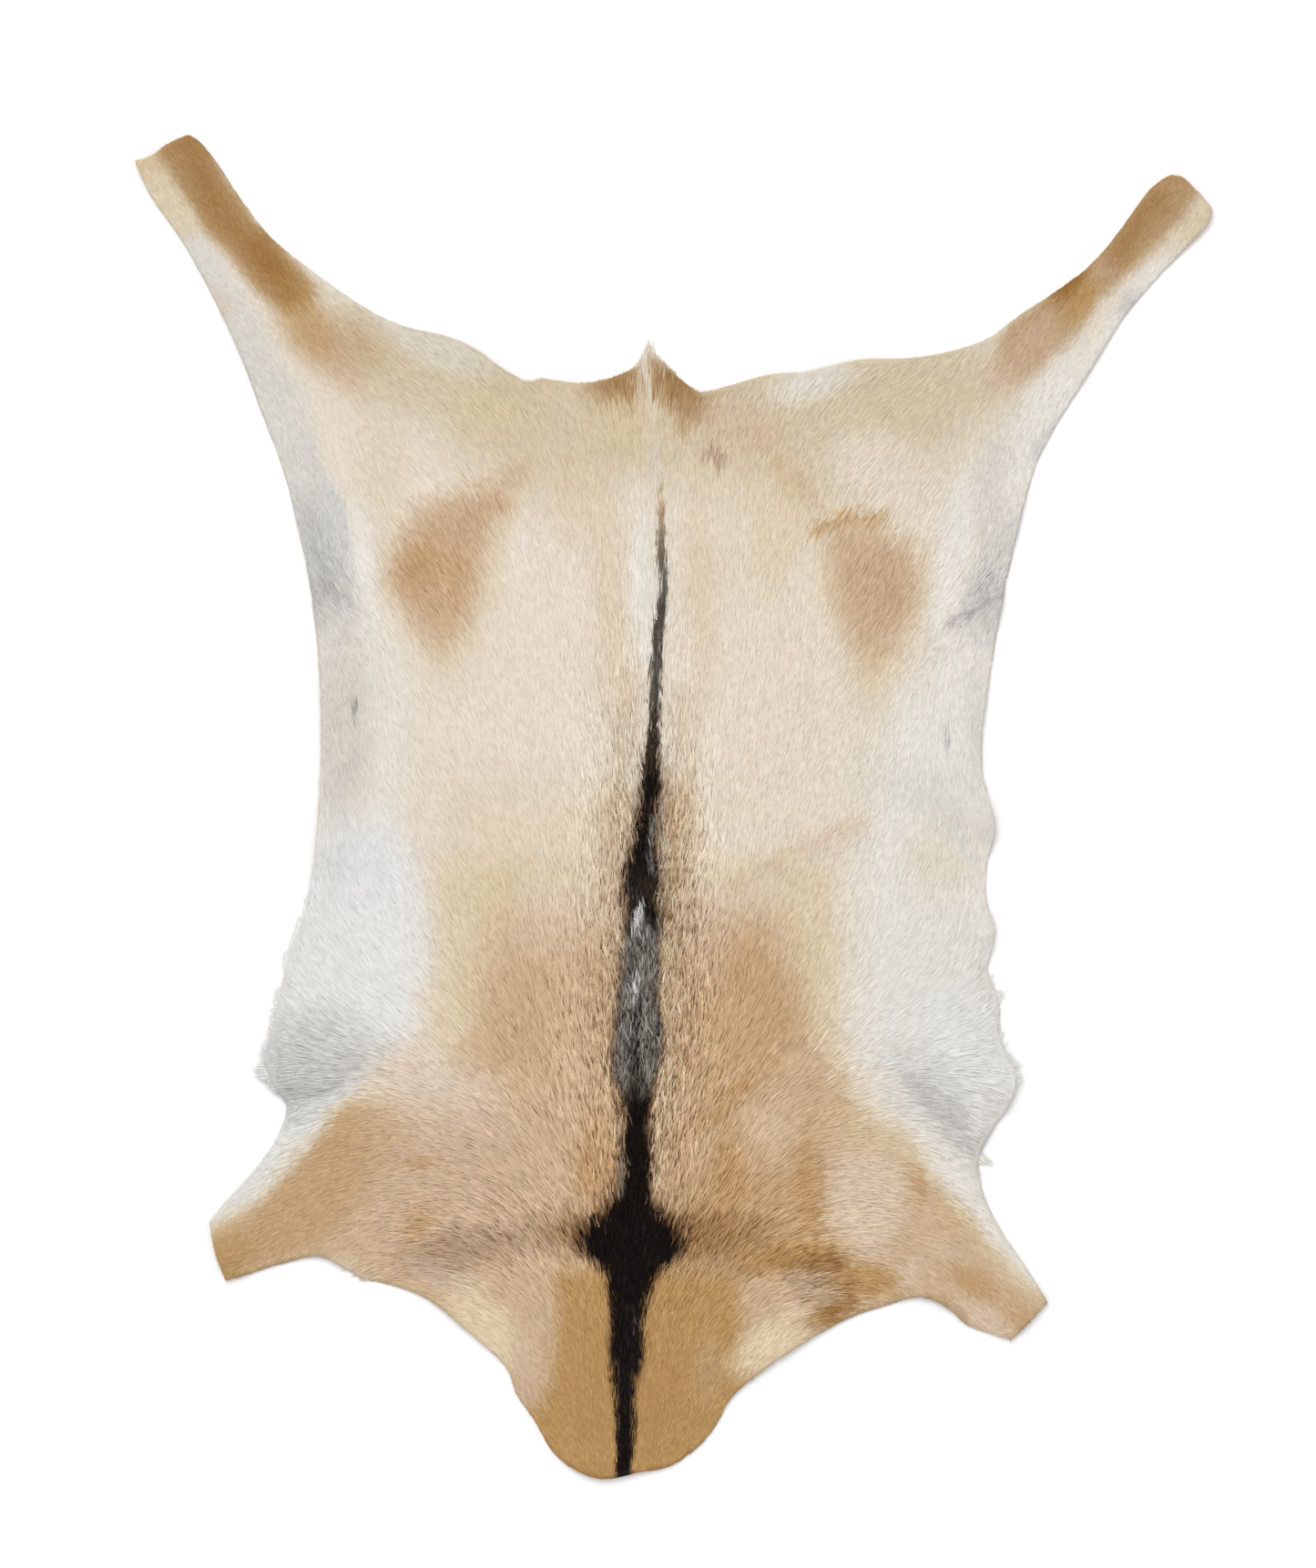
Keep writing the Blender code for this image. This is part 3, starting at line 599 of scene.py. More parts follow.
# Where tufts pass the skin's rim, and how far, in millimetres.
TUFTS: dict[str, Growth] = {
    "left side, upper": Growth(-276, -92, 14, 22, 70, 7),
    "left side": Growth(-290, -140, 34, 22, 70, 10),
    "left armpit": Growth(-304, -194, 20, 20, 70, 11),
    "right side, upper": Growth(239, -90, 7, 16, 90, 9),
    "right side": Growth(240, -138, 10, 16, 90, 12),
    "right side, lower": Growth(247, -176, 12, 16, 90, 11),
    "right armpit": Growth(256, -194, 12, 16, 90, 9),
    "left elbow": Growth(-234, -346, 16, 12, 20, 8),
    "tail": Growth(-14, 334, 24, 12, 110, 5),
    "right elbow": Growth(234, -260, 11, 12, 60, 24),
}

# Where the coat is more ruffled than on the back: its locks differ more in tone, by these steps of 255,
# and with them in heading and in thickness, and they stand up more.
RUFFLE: dict[str, Growth] = {
    "beside the line": Growth(-22, -90, 190, 42, 91, 38),
    "right of the line": Growth(10, -40, 120, 22, 90, 8),
    "front": Growth(-30, -220, 150, 150, 90, 15),
    "withers": Growth(-25, -312, 130, 36, 0, 11),
    "left chest": Growth(-150, -320, 60, 34, 0, 9),
    "right chest": Growth(110, -335, 56, 34, 0, 6),
    "right side": Growth(190, -110, 90, 50, 90, -9),
    "left flank": Growth(-240, 60, 100, 34, 90, -6),
    "right flank": Growth(216, 60, 90, 34, 90, -6),
    "left haunch": Growth(-270, 320, 110, 46, 118, -5),
    "right haunch": Growth(270, 310, 110, 46, 58, -5),
    "mauve of the throat": Growth(104, -357, 26, 14, -20, 14),
    "left armpit": Growth(-262, -194, 50, 30, 20, 7),
    "right armpit": Growth(205, -222, 46, 26, -45, 5),
    "neck": Growth(-20, -420, 70, 80, 0, 5),
    "left patch": Growth(-178, 172, 56, 40, 70, 8),
    "right patch": Growth(150, 160, 60, 40, 96, 7),
    "left groin": Growth(-260, 170, 60, 26, 95, 9),
    "right groin": Growth(230, 160, 50, 24, 80, 10),
    "tail": Growth(-10, 320, 50, 20, 0, 7),
    "rump, right of the tail": Growth(70, 270, 50, 26, -35, 2),
    "grey of the line": Growth(-25, -145, 56, 17, 91, -4),
}


def smooth(share: np.ndarray) -> np.ndarray:
    """Shares from 0 to 1, eased at both ends.

    Args:
        share: any numbers; those outside 0 to 1 are clipped first.

    Returns:
        The eased shares.
    """
    clipped = np.clip(share, 0.0, 1.0)
    return clipped * clipped * (3 - 2 * clipped)


def fade(inside: np.ndarray, soft: float) -> np.ndarray:
    """Shares that rise from 0 to 1 over a soft edge, and are a half on it.

    Args:
        inside: how far inside the edge each place is, negative outside it.
        soft: how far the edge's softness reaches to each side.

    Returns:
        The shares.
    """
    return smooth(inside / soft / 2 + 0.5)


def linear(rgb: np.ndarray) -> np.ndarray:
    """Colours in sRGB turned into the linear light that shaders use, by that standard's own numbers.

    Args:
        rgb: sRGB values from 0 to 1.

    Returns:
        Linear values of the same shape.
    """
    clipped = np.clip(rgb, 0.0, 1.0)
    return np.where(clipped <= 0.04045, clipped / 12.92, ((clipped + 0.055) / 1.055) ** 2.4)


def oval_radius(x: np.ndarray, y: np.ndarray, oval: Oval | Growth) -> np.ndarray:
    """How far out each place is in an oval, 1 being its edge.

    Args:
        x: places across, in millimetres.
        y: places along, in millimetres.
        oval: the oval.

    Returns:
        The distances as shares of the oval's own radius.
    """
    turn = math.radians(oval.turn)
    dx, dy = x - oval.across, y - oval.along
    lengthwise = (dx * math.cos(turn) + dy * math.sin(turn)) / oval.half_length
    sidewise = (dy * math.cos(turn) - dx * math.sin(turn)) / oval.half_width
    return np.hypot(lengthwise, sidewise)


def growth_sum(growths: dict[str, Growth], x: np.ndarray, y: np.ndarray) -> np.ndarray:
    """The sum of what growths add at places.

    Args:
        growths: the growths by name.
        x: places across, in millimetres.
        y: places along, in millimetres.

    Returns:
        The sums.
    """
    total = np.zeros(len(x))
    for growth in growths.values():
        total += growth.amount * np.exp(-oval_radius(x, y, growth) ** 2)
    return total


def line_distance(x: np.ndarray, y: np.ndarray, points: Sequence[Place]) -> np.ndarray:
    """The distance of each place from a line through points.

    Args:
        x: places across.
        y: places along, in the same unit as the points.
        points: the line's points.

    Returns:
        The distances.
    """
    nearest = np.full(x.shape, np.inf)
    for (ax, ay), (bx, by) in zip(points, points[1:]):
        ex, ey = bx - ax, by - ay
        share = np.clip(((x - ax) * ex + (y - ay) * ey) / (ex * ex + ey * ey), 0.0, 1.0)
        nearest = np.minimum(nearest, np.hypot(x - ax - share * ex, y - ay - share * ey))
    return nearest


def depth_inside(x: np.ndarray, y: np.ndarray, edges: Sequence[tuple[Place, Place]]) -> np.ndarray:
    """How deep each place is inside a closed outline, negative outside it.

    Args:
        x: places across.
        y: places along, in the same unit as the edges.
        edges: the outline's edges, in any order.

    Returns:
        The depths.
    """
    nearest = np.full(x.shape, np.inf)
    inside = np.zeros(x.shape, bool)
    for (ax, ay), (bx, by) in edges:
        nearest = np.minimum(nearest, line_distance(x, y, ((ax, ay), (bx, by))))
        if ay != by:
            crosses = (ay > y) != (by > y)
            inside ^= crosses & (x < ax + (y - ay) * (bx - ax) / (by - ay))
    return np.where(inside, nearest, -nearest)


@dataclass
class SoftNoise:
    """Smooth random hills and hollows from -1 to 1, the same at each run."""

    cell: float
    seed: Seed
    size: int = 64
    lattice: np.ndarray = field(init=False)

    def __post_init__(self) -> None:
        """Draws the random values at the lattice's corners."""
        self.lattice = np.random.default_rng(self.seed.value).uniform(-1, 1, (self.size, self.size))

    def at(self, x: np.ndarray, y: np.ndarray) -> np.ndarray:
        """The noise at places.

        Args:
            x: places across, in the unit of the cell.
            y: places along.

        Returns:
            One value for each place.
        """
        u, v = x / self.cell, y / self.cell
        column, row = np.floor(u).astype(int), np.floor(v).astype(int)
        across, along = smooth(u - column), smooth(v - row)
        value = np.zeros(x.shape)
        for right in (0, 1):
            for up in (0, 1):
                share = np.abs(1 - right - across) * np.abs(1 - up - along)
                value += share * self.lattice[(column + right) % self.size, (row + up) % self.size]
        return value


@dataclass
class CoatPainter:
    """Knows the coat's colour at every place of the hide."""

    ground: Tone = Tone.CREAM
    areas: dict[str, Area] = field(default_factory=lambda: AREAS)
    patches: dict[str, Oval] = field(default_factory=lambda: PATCHES)
    streaks: dict[str, Streak] = field(default_factory=lambda: STREAKS)
    # Painted shade along the creases, which also press the coat down.
    creases: dict[str, Streak] = field(default_factory=lambda: CREASES_WITH_PAINTED_SHADE)
    stripe: tuple[StripeRow, ...] = STRIPE
    flecks: dict[str, Streak] = field(default_factory=lambda: STRIPE_FLECKS)

    # The dark line's edge, its brown fringe, and how hairs stray over that edge in tongues.
    stripe_soft: float = 1.2
    fringe_tone: Tone = Tone.BARK
    fringe_strength: float = 0.8
    fringe_reach: float = 1.5
    tongue_share: float = 0.35
    stray_share: float = 0.4
    stray_back: float = 0.7
    fleck_streaks: float = 0.45
    tongue_width: float = 2.6
    tongue_length: float = 14.0

    # How far the markings' edges wander, and over what distances across and along.
    wander: float = 3.0
    wander_cells: tuple[float, float] = (34, 38)
    fine_wander: float = 1.6
    fine_cells: tuple[float, float] = (7, 9)

    def paint(self, x: np.ndarray, y: np.ndarray, stray: np.ndarray | float = 0.0) -> np.ndarray:
        """The coat's colour at places.

        Args:
            x: places across, in millimetres.
            y: places along, in millimetres.
            stray: how far each hair strays over the dark line's edges, as shares of its brown fringe.

        Returns:
            One sRGB colour for each place, from 0 to 1.
        """
        mark_x = x + self.wandered(x, y, 0, (Seed.WANDER_ACROSS, Seed.FINE_ACROSS))
        mark_y = y + self.wandered(x, y, 1, (Seed.WANDER_ALONG, Seed.FINE_ALONG))
        colour = np.tile(self.ground.rgb(), (len(x), 1))
        for area in self.areas.values():
            edges = list(zip(area.outline, area.outline[1:] + area.outline[:1]))
            depth = depth_inside(mark_x, mark_y, edges) + area.grow
            self.lay(colour, area.tone.rgb(), area.strength * fade(depth, area.soft))
        for patch in self.patches.values():
            depth = 1 - oval_radius(mark_x, mark_y, patch)
            self.lay(colour, patch.tone.rgb(), patch.strength * fade(depth, patch.soft))
        self.draw(colour, self.streaks, mark_x, mark_y)
        # Painted shade in the creases.
        self.draw(colour, self.creases, x, y)
        squeezed = y * self.tongue_width / self.tongue_length
        tongues = SoftNoise(self.tongue_width, Seed.TONGUES).at(x, squeezed)
        strayed = self.stray_share * (np.abs(stray) - self.stray_back)
        self.draw_stripe(colour, x, y, self.tongue_share * tongues + strayed)
        self.draw(colour, self.flecks, x + tongues, y, 1 + self.fleck_streaks * stray)
        return colour

    def wandered(self, x: np.ndarray, y: np.ndarray, axis: int, seeds: tuple[Seed, Seed]) -> np.ndarray:
        """How far the markings' edges wander from their places, along one axis.

        Args:
            x: places across, in millimetres.
            y: places along, in millimetres.
            axis: 0 for across, 1 for along.
            seeds: the seeds of the wide wander and of the fine one.

        Returns:
            The distances in millimetres.
        """
        wide = SoftNoise(self.wander_cells[axis], seeds[0]).at(x, y)
        fine = SoftNoise(self.fine_cells[axis], seeds[1]).at(x, y)
        return self.wander * wide + self.fine_wander * fine

    def pressed(self, x: np.ndarray, y: np.ndarray) -> np.ndarray:
        """How far creases press the coat down at places.

        Args:
            x: places across, in millimetres.
            y: places along, in millimetres.

        Returns:
            Shares from 0 to 1.
        """
        share = np.zeros(len(x))
        for crease in self.creases.values():
            depth = crease.half_width - line_distance(x, y, crease.points)
            share = np.maximum(share, fade(depth, crease.soft))
        return share

    @staticmethod
    def lay(colour: np.ndarray, rgb: np.ndarray, share: np.ndarray) -> None:
        """Lays one sRGB colour, or one for each place, over the colours by their shares."""
        colour += share[:, None] * (rgb - colour)

    def draw(
        self, colour: np.ndarray, streaks: dict[str, Streak], x: np.ndarray, y: np.ndarray,
        cover: np.ndarray | float = 1.0,
    ) -> None:
        """Draws streaks over the colours.

        Args:
            colour: the colours so far, which change.
            streaks: the streaks by name.
            x: places across.
            y: places along.
            cover: how well a streak covers each place.
        """
        for streak in streaks.values():
            depth = streak.half_width - line_distance(x, y, streak.points)
            share = streak.strength * fade(depth, streak.soft) * cover
            self.lay(colour, streak.tone.rgb(), np.clip(share, 0, 1))

    def draw_stripe(self, colour: np.ndarray, x: np.ndarray, y: np.ndarray, ragged: np.ndarray) -> None:
        """Draws the dark line down the back over the colours, with its brown fringe.

        Args:
            colour: the colours so far, which change.
            x: places across.
            y: places along.
            ragged: how far the line reaches out at each place, as a share of its fringe there.
        """
        rows = sorted(self.stripe)
        along = [row.along for row in rows]
        from_left = x - np.interp(y, along, [row.left for row in rows])
        from_right = np.interp(y, along, [row.right for row in rows]) - x
        left_fringe = np.interp(y, along, [row.left_fringe for row in rows])
        right_fringe = np.interp(y, along, [row.right_fringe for row in rows])
        fringe = np.where(from_left < from_right, left_fringe, right_fringe)
        depth = np.minimum(from_left, from_right) + fringe * ragged
        ends = y < along[-1]
        brown = smooth(1 + depth / fringe / self.fringe_reach)
        self.lay(colour, self.fringe_tone.rgb(), self.fringe_strength * brown * ends)
        channels = zip(*(row.tone.rgb() for row in rows))
        rgb = np.stack([np.interp(y, along, channel) for channel in channels], axis=1)
        self.lay(colour, rgb, fade(depth, self.stripe_soft) * ends)


@dataclass
class Comb:
    """Knows which way the hair lies at every place of the hide."""

    rows: tuple[CombRow, ...] = COMB
    spine: tuple[Place, ...] = SPINE

    # How many degrees the hair drifts from the rows, over what distance, and clumps of locks from that.
    drift: float = 5.0
    drift_cell: float = 26.0
    clump: float = 6.0
    clump_cell: float = 8.0

    def heading(self, x: np.ndarray, y: np.ndarray) -> np.ndarray:
        """The way the hair lies, from root to tip.

        Args:
            x: places across, in millimetres.
            y: places along, in millimetres.

        Returns:
            Angles in radians, from across towards along.
        """
        spine = sorted(self.spine, key=lambda place: place[1])
        middle = np.interp(y, [place[1] for place in spine], [place[0] for place in spine])
        out = x - middle
        rows = sorted(self.rows)
        along = [row.along for row in rows]
        columns = [np.zeros(len(x))]
        for column in zip(*(row[1:] for row in rows)):
            columns.append(np.interp(y, along, column))
        table = np.stack(columns)
        position = np.clip(np.abs(out) / COMB_SPACING, 0, len(columns) - LAST_CELL)
        lower = position.astype(int)
        share = position - lower
        each = np.arange(len(x))
        lean = table[lower, each] * (1 - share) + table[lower + 1, each] * share
        lean += self.drift * SoftNoise(self.drift_cell, Seed.DRIFT).at(x, y)
        lean += self.clump * SoftNoise(self.clump_cell, Seed.CLUMP).at(x, y)
        return np.radians(90 - np.sign(out) * lean)


@dataclass
class HideSurface:
    """The leather's upper side, to root hair in: its height and how deep each place is inside the rim."""

    leather: bpy.types.Object
    rim: list[tuple[Place, Place]]

    # The grid of measured places, and how far it passes the hide's box.
    step: float = 2.5 * MM
    margin: float = 30 * MM
    ray_start: float = 100 * MM
    low: np.ndarray = field(init=False)
    heights: np.ndarray = field(init=False)
    depths: np.ndarray = field(init=False)

    def __post_init__(self) -> None:
        """Measures heights and depths on an even grid over the hide's box."""
        low, high = (np.array(corner[:2]) for corner in CAD_BOX)
        self.low = low - self.margin
        counts = np.ceil((high - low + 2 * self.margin) / self.step).astype(int) + 1
        xs = self.low[0] + self.step * np.arange(counts[0])
        ys = self.low[1] + self.step * np.arange(counts[1])
        grid_x, grid_y = (axis.ravel() for axis in np.meshgrid(xs, ys, indexing="ij"))
        self.depths = depth_inside(grid_x, grid_y, self.rim).reshape(counts)
        tree = BVHTree.FromObject(self.leather, bpy.context.evaluated_depsgraph_get())
        down = Vector((0, 0, -1))
        heights = []
        for x, y in zip(grid_x, grid_y):
            hit = tree.ray_cast(Vector((x, y, self.ray_start)), down)[0]
            if hit is None:
                hit = tree.find_nearest(Vector((x, y, 0)))[0]
            heights.append(hit.z)
        self.heights = np.array(heights).reshape(counts)

    def read(self, table: np.ndarray, x: np.ndarray, y: np.ndarray) -> np.ndarray:
        """Reads a grid between its points.

        Args:
            table: heights or depths.
            x: places across, in metres.
            y: places along, in metres.

        Returns:
            One value for each place.
        """
        u = np.clip((x - self.low[0]) / self.step, 0, table.shape[0] - LAST_CELL)
        v = np.clip((y - self.low[1]) / self.step, 0, table.shape[1] - LAST_CELL)
        column, row = u.astype(int), v.astype(int)
        across, along = u - column, v - row
        near = table[column, row] * (1 - across) + table[column + 1, row] * across
        far = table[column, row + 1] * (1 - across) + table[column + 1, row + 1] * across
        return near * (1 - along) + far * along

    def height(self, x: np.ndarray, y: np.ndarray) -> np.ndarray:
        """The leather's upper side at places in metres."""
        return self.read(self.heights, x, y)

    def depth(self, x: np.ndarray, y: np.ndarray) -> np.ndarray:
        """How far places in metres are inside the rim."""
        return self.read(self.depths, x, y)


class Sketch:
    """Puts nodes into one node tree, each to the right of the last."""

    SPACING = 200

    def __init__(self, tree: bpy.types.NodeTree) -> None:
        """Starts on a tree.

        Args:
            tree: the node tree to add to.
        """
        self.tree = tree
        self.count = 0

    def add(
        self, kind: str, values: dict[str | int, object] | None = None, **settings: object
    ) -> bpy.types.Node:
        """Adds a node.

        Args:
            kind: the node's type.
            values: numbers for its sockets, or sockets to link to them.
            settings: the node's own settings.

        Returns:
            The new node.
        """
        node = self.tree.nodes.new(kind)
        node.location = (self.SPACING * self.count, 0)
        self.count += 1
        for name, setting in settings.items():
            setattr(node, name, setting)
        self.feed(node, values or {})
        return node

    def feed(self, node: bpy.types.Node, values: dict[str | int, object]) -> None:
        """Gives a node's sockets their values.

        Args:
            node: the node.
            values: numbers for its sockets, or sockets to link to them.
        """
        for name, value in values.items():
            if isinstance(value, bpy.types.NodeSocket):
                self.tree.links.new(value, node.inputs[name])
            else:
                node.inputs[name].default_value = value


def new_group(
    name: str, inputs: dict[str, tuple[str, object]], outputs: dict[str, str]
) -> bpy.types.NodeTree:
    """Starts a shader node group.

    Args:
        name: the group's name.
        inputs: each input's socket type and first value.
        outputs: each output's socket type.

    Returns:
        The group, with its sockets.
    """
    group = bpy.data.node_groups.new(name, "ShaderNodeTree")
    for title, (kind, value) in inputs.items():
        socket = group.interface.new_socket(title, in_out="INPUT", socket_type=kind)
        socket.default_value = value
    for title, kind in outputs.items():
        group.interface.new_socket(title, in_out="OUTPUT", socket_type=kind)
    return group


def grain_group(grain: Grain) -> bpy.types.NodeTree:
    """Makes a group that lightens and darkens a colour by a soft noise, with a mask of that noise.

    Args:
        grain: which noise.

    Returns:
        The group.
    """
    group = new_group(
        grain.name.lower(),
        {
            "Place": ("NodeSocketVector", (0, 0, 0)),
            "Colour": ("NodeSocketColor", (1, 1, 1, 1)),
            "Size": ("NodeSocketFloat", 1.0),
            "Amount": ("NodeSocketFloat", 0.1),
        },
        {"Colour": "NodeSocketColor", "Mask": "NodeSocketFloat"},
    )
    sketch = Sketch(group)
    given = sketch.add("NodeGroupInput").outputs
    detail, roughness = grain.value
    noise = sketch.add("ShaderNodeTexNoise", {
        "Vector": given["Place"], "Scale": given["Size"], "Detail": detail, "Roughness": roughness,
    }).outputs["Fac"]
    centred = sketch.add("ShaderNodeMath", {0: noise, 1: 0.5}, operation="SUBTRACT").outputs[0]
    scaled = sketch.add("ShaderNodeMath", {0: centred, 1: given["Amount"]}, operation="MULTIPLY").outputs[0]
    factor = sketch.add("ShaderNodeMath", {0: scaled, 1: 1.0}, operation="ADD").outputs[0]
    shaded = sketch.add("ShaderNodeVectorMath", {0: given["Colour"], "Scale": factor}, operation="SCALE")
    sketch.add("NodeGroupOutput", {"Colour": shaded.outputs[0], "Mask": noise})
    return group


def new_material(name: str) -> tuple[bpy.types.Material, Sketch, bpy.types.Node]:
    """Starts a material.

    Args:
        name: its name.

    Returns:
        The material, a sketch on its node tree, and its shader.
    """
    material = bpy.data.materials.new(name)
    material.use_nodes = True
    return material, Sketch(material.node_tree), material.node_tree.nodes["Principled BSDF"]


@dataclass(frozen=True)
class HairFinish:
    """The finish of the goat's hair: silky, in the colours that each lock carries."""

    roughness: float = 0.65
    gloss: float = 0.06
    # Hair lines over the whole width and length of the map, which holds a lock in each cell.
    lines_across: float = 900.0
    lines_along: float = 40.0
    line_amount: float = 0.3
    cloud_size: float = 28.0
    cloud_amount: float = 0.06

    def material(self, mottle: bpy.types.NodeTree, strands: bpy.types.NodeTree) -> bpy.types.Material:
        """Makes the material.

        Args:
            mottle: the group that clouds a colour.
            strands: the group that rules hair lines along a lock.

        Returns:
            The material.
        """
        material, sketch, shader = new_material("goat hair")
        colour = sketch.add("ShaderNodeAttribute", attribute_name=COLOUR_LAYER).outputs["Color"]
        place = sketch.add("ShaderNodeTexCoord").outputs["Object"]
        on_lock = sketch.add("ShaderNodeUVMap", uv_map=MAP_LAYER).outputs["UV"]
        lines = sketch.add("ShaderNodeMapping", {
            "Vector": on_lock, "Scale": (self.lines_across, self.lines_along, 1.0),
        }).outputs["Vector"]
        ruled = sketch.add("ShaderNodeGroup", {
            "Place": lines, "Colour": colour, "Amount": self.line_amount,
        }, node_tree=strands)
        clouded = sketch.add("ShaderNodeGroup", {
            "Place": place, "Colour": ruled.outputs["Colour"],
            "Size": self.cloud_size, "Amount": self.cloud_amount,
        }, node_tree=mottle)
        sketch.feed(shader, {
            "Base Color": clouded.outputs["Colour"],
            "Roughness": self.roughness, "Specular IOR Level": self.gloss,
        })
        return material


@dataclass(frozen=True)
class SkinFinish:
    """The finish of the tanned skin: suede on the flesh side, short fluff under the hair on the other."""

    roughness: float = 0.85
    gloss: float = 0.2
    cloud_size: float = 16.0
    cloud_amount: float = 0.35
    nap_size: float = 900.0
    nap_amount: float = 0.25
    nap_depth: float = 0.3 * MM
    nap_strength: float = 0.6

    def material(self, name: str, mottle: bpy.types.NodeTree) -> bpy.types.Material:
        """Makes the material of one side.

        Args:
            name: the material's name.
            mottle: the group that clouds a colour.

        Returns:
            The material.
        """
        material, sketch, shader = new_material(name)
        colour = sketch.add("ShaderNodeAttribute", attribute_name=COLOUR_LAYER).outputs["Color"]
        place = sketch.add("ShaderNodeTexCoord").outputs["Object"]
        clouded = sketch.add("ShaderNodeGroup", {
            "Place": place, "Colour": colour, "Size": self.cloud_size, "Amount": self.cloud_amount,
        }, node_tree=mottle)
        napped = sketch.add("ShaderNodeGroup", {
            "Place": place, "Colour": clouded.outputs["Colour"],
            "Size": self.nap_size, "Amount": self.nap_amount,
        }, node_tree=mottle)
        bump = sketch.add("ShaderNodeBump", {
            "Height": napped.outputs["Mask"], "Distance": self.nap_depth, "Strength": self.nap_strength,
        })
        sketch.feed(shader, {
            "Base Color": napped.outputs["Colour"], "Normal": bump.outputs["Normal"],
            "Roughness": self.roughness, "Specular IOR Level": self.gloss,
        })
        return material


@dataclass(frozen=True)
class FloorFinish:
    """The finish of the plain pale floor."""

    colour: tuple[float, float, float, float] = (0.95, 0.95, 0.95, 1.0)
    roughness: float = 0.9
    gloss: float = 0.1

    def material(self) -> bpy.types.Material:
        """Makes the material.

        Returns:
            The material.
        """
        material, sketch, shader = new_material("plain floor")
        sketch.feed(shader, {
            "Base Color": self.colour, "Roughness": self.roughness, "Specular IOR Level": self.gloss,
        })
        return material


def deselect() -> None:
    """Deselects every object."""
    bpy.ops.object.select_all(action="DESELECT")


def choose(item: bpy.types.Object) -> None:
    """Makes an object the only selected one, and the active one."""
    deselect()
    bpy.context.view_layer.objects.active = item
    item.select_set(True)


@contextmanager
def opened(mesh: bpy.types.Mesh) -> Iterator[bmesh.types.BMesh]:
    """Opens a mesh for editing, and puts the edited shape back at the end.

    Args:
        mesh: the mesh, which changes.

    Returns:
        The editable mesh, for a with statement.
    """
    bm = bmesh.new()
    bm.from_mesh(mesh)
    yield bm
    bm.to_mesh(mesh)
    bm.free()


def add_colours(mesh: bpy.types.Mesh, rgb: np.ndarray) -> None:
    """Gives a mesh's points their colours.

    Args:
        mesh: the mesh.
        rgb: one linear colour for each point.
    """
    layer = mesh.color_attributes.new(COLOUR_LAYER, "FLOAT_COLOR", "POINT")
    rgba = np.concatenate([rgb, np.ones((len(rgb), 1))], axis=1)
    layer.data.foreach_set("color", rgba.astype(np.float32).ravel())


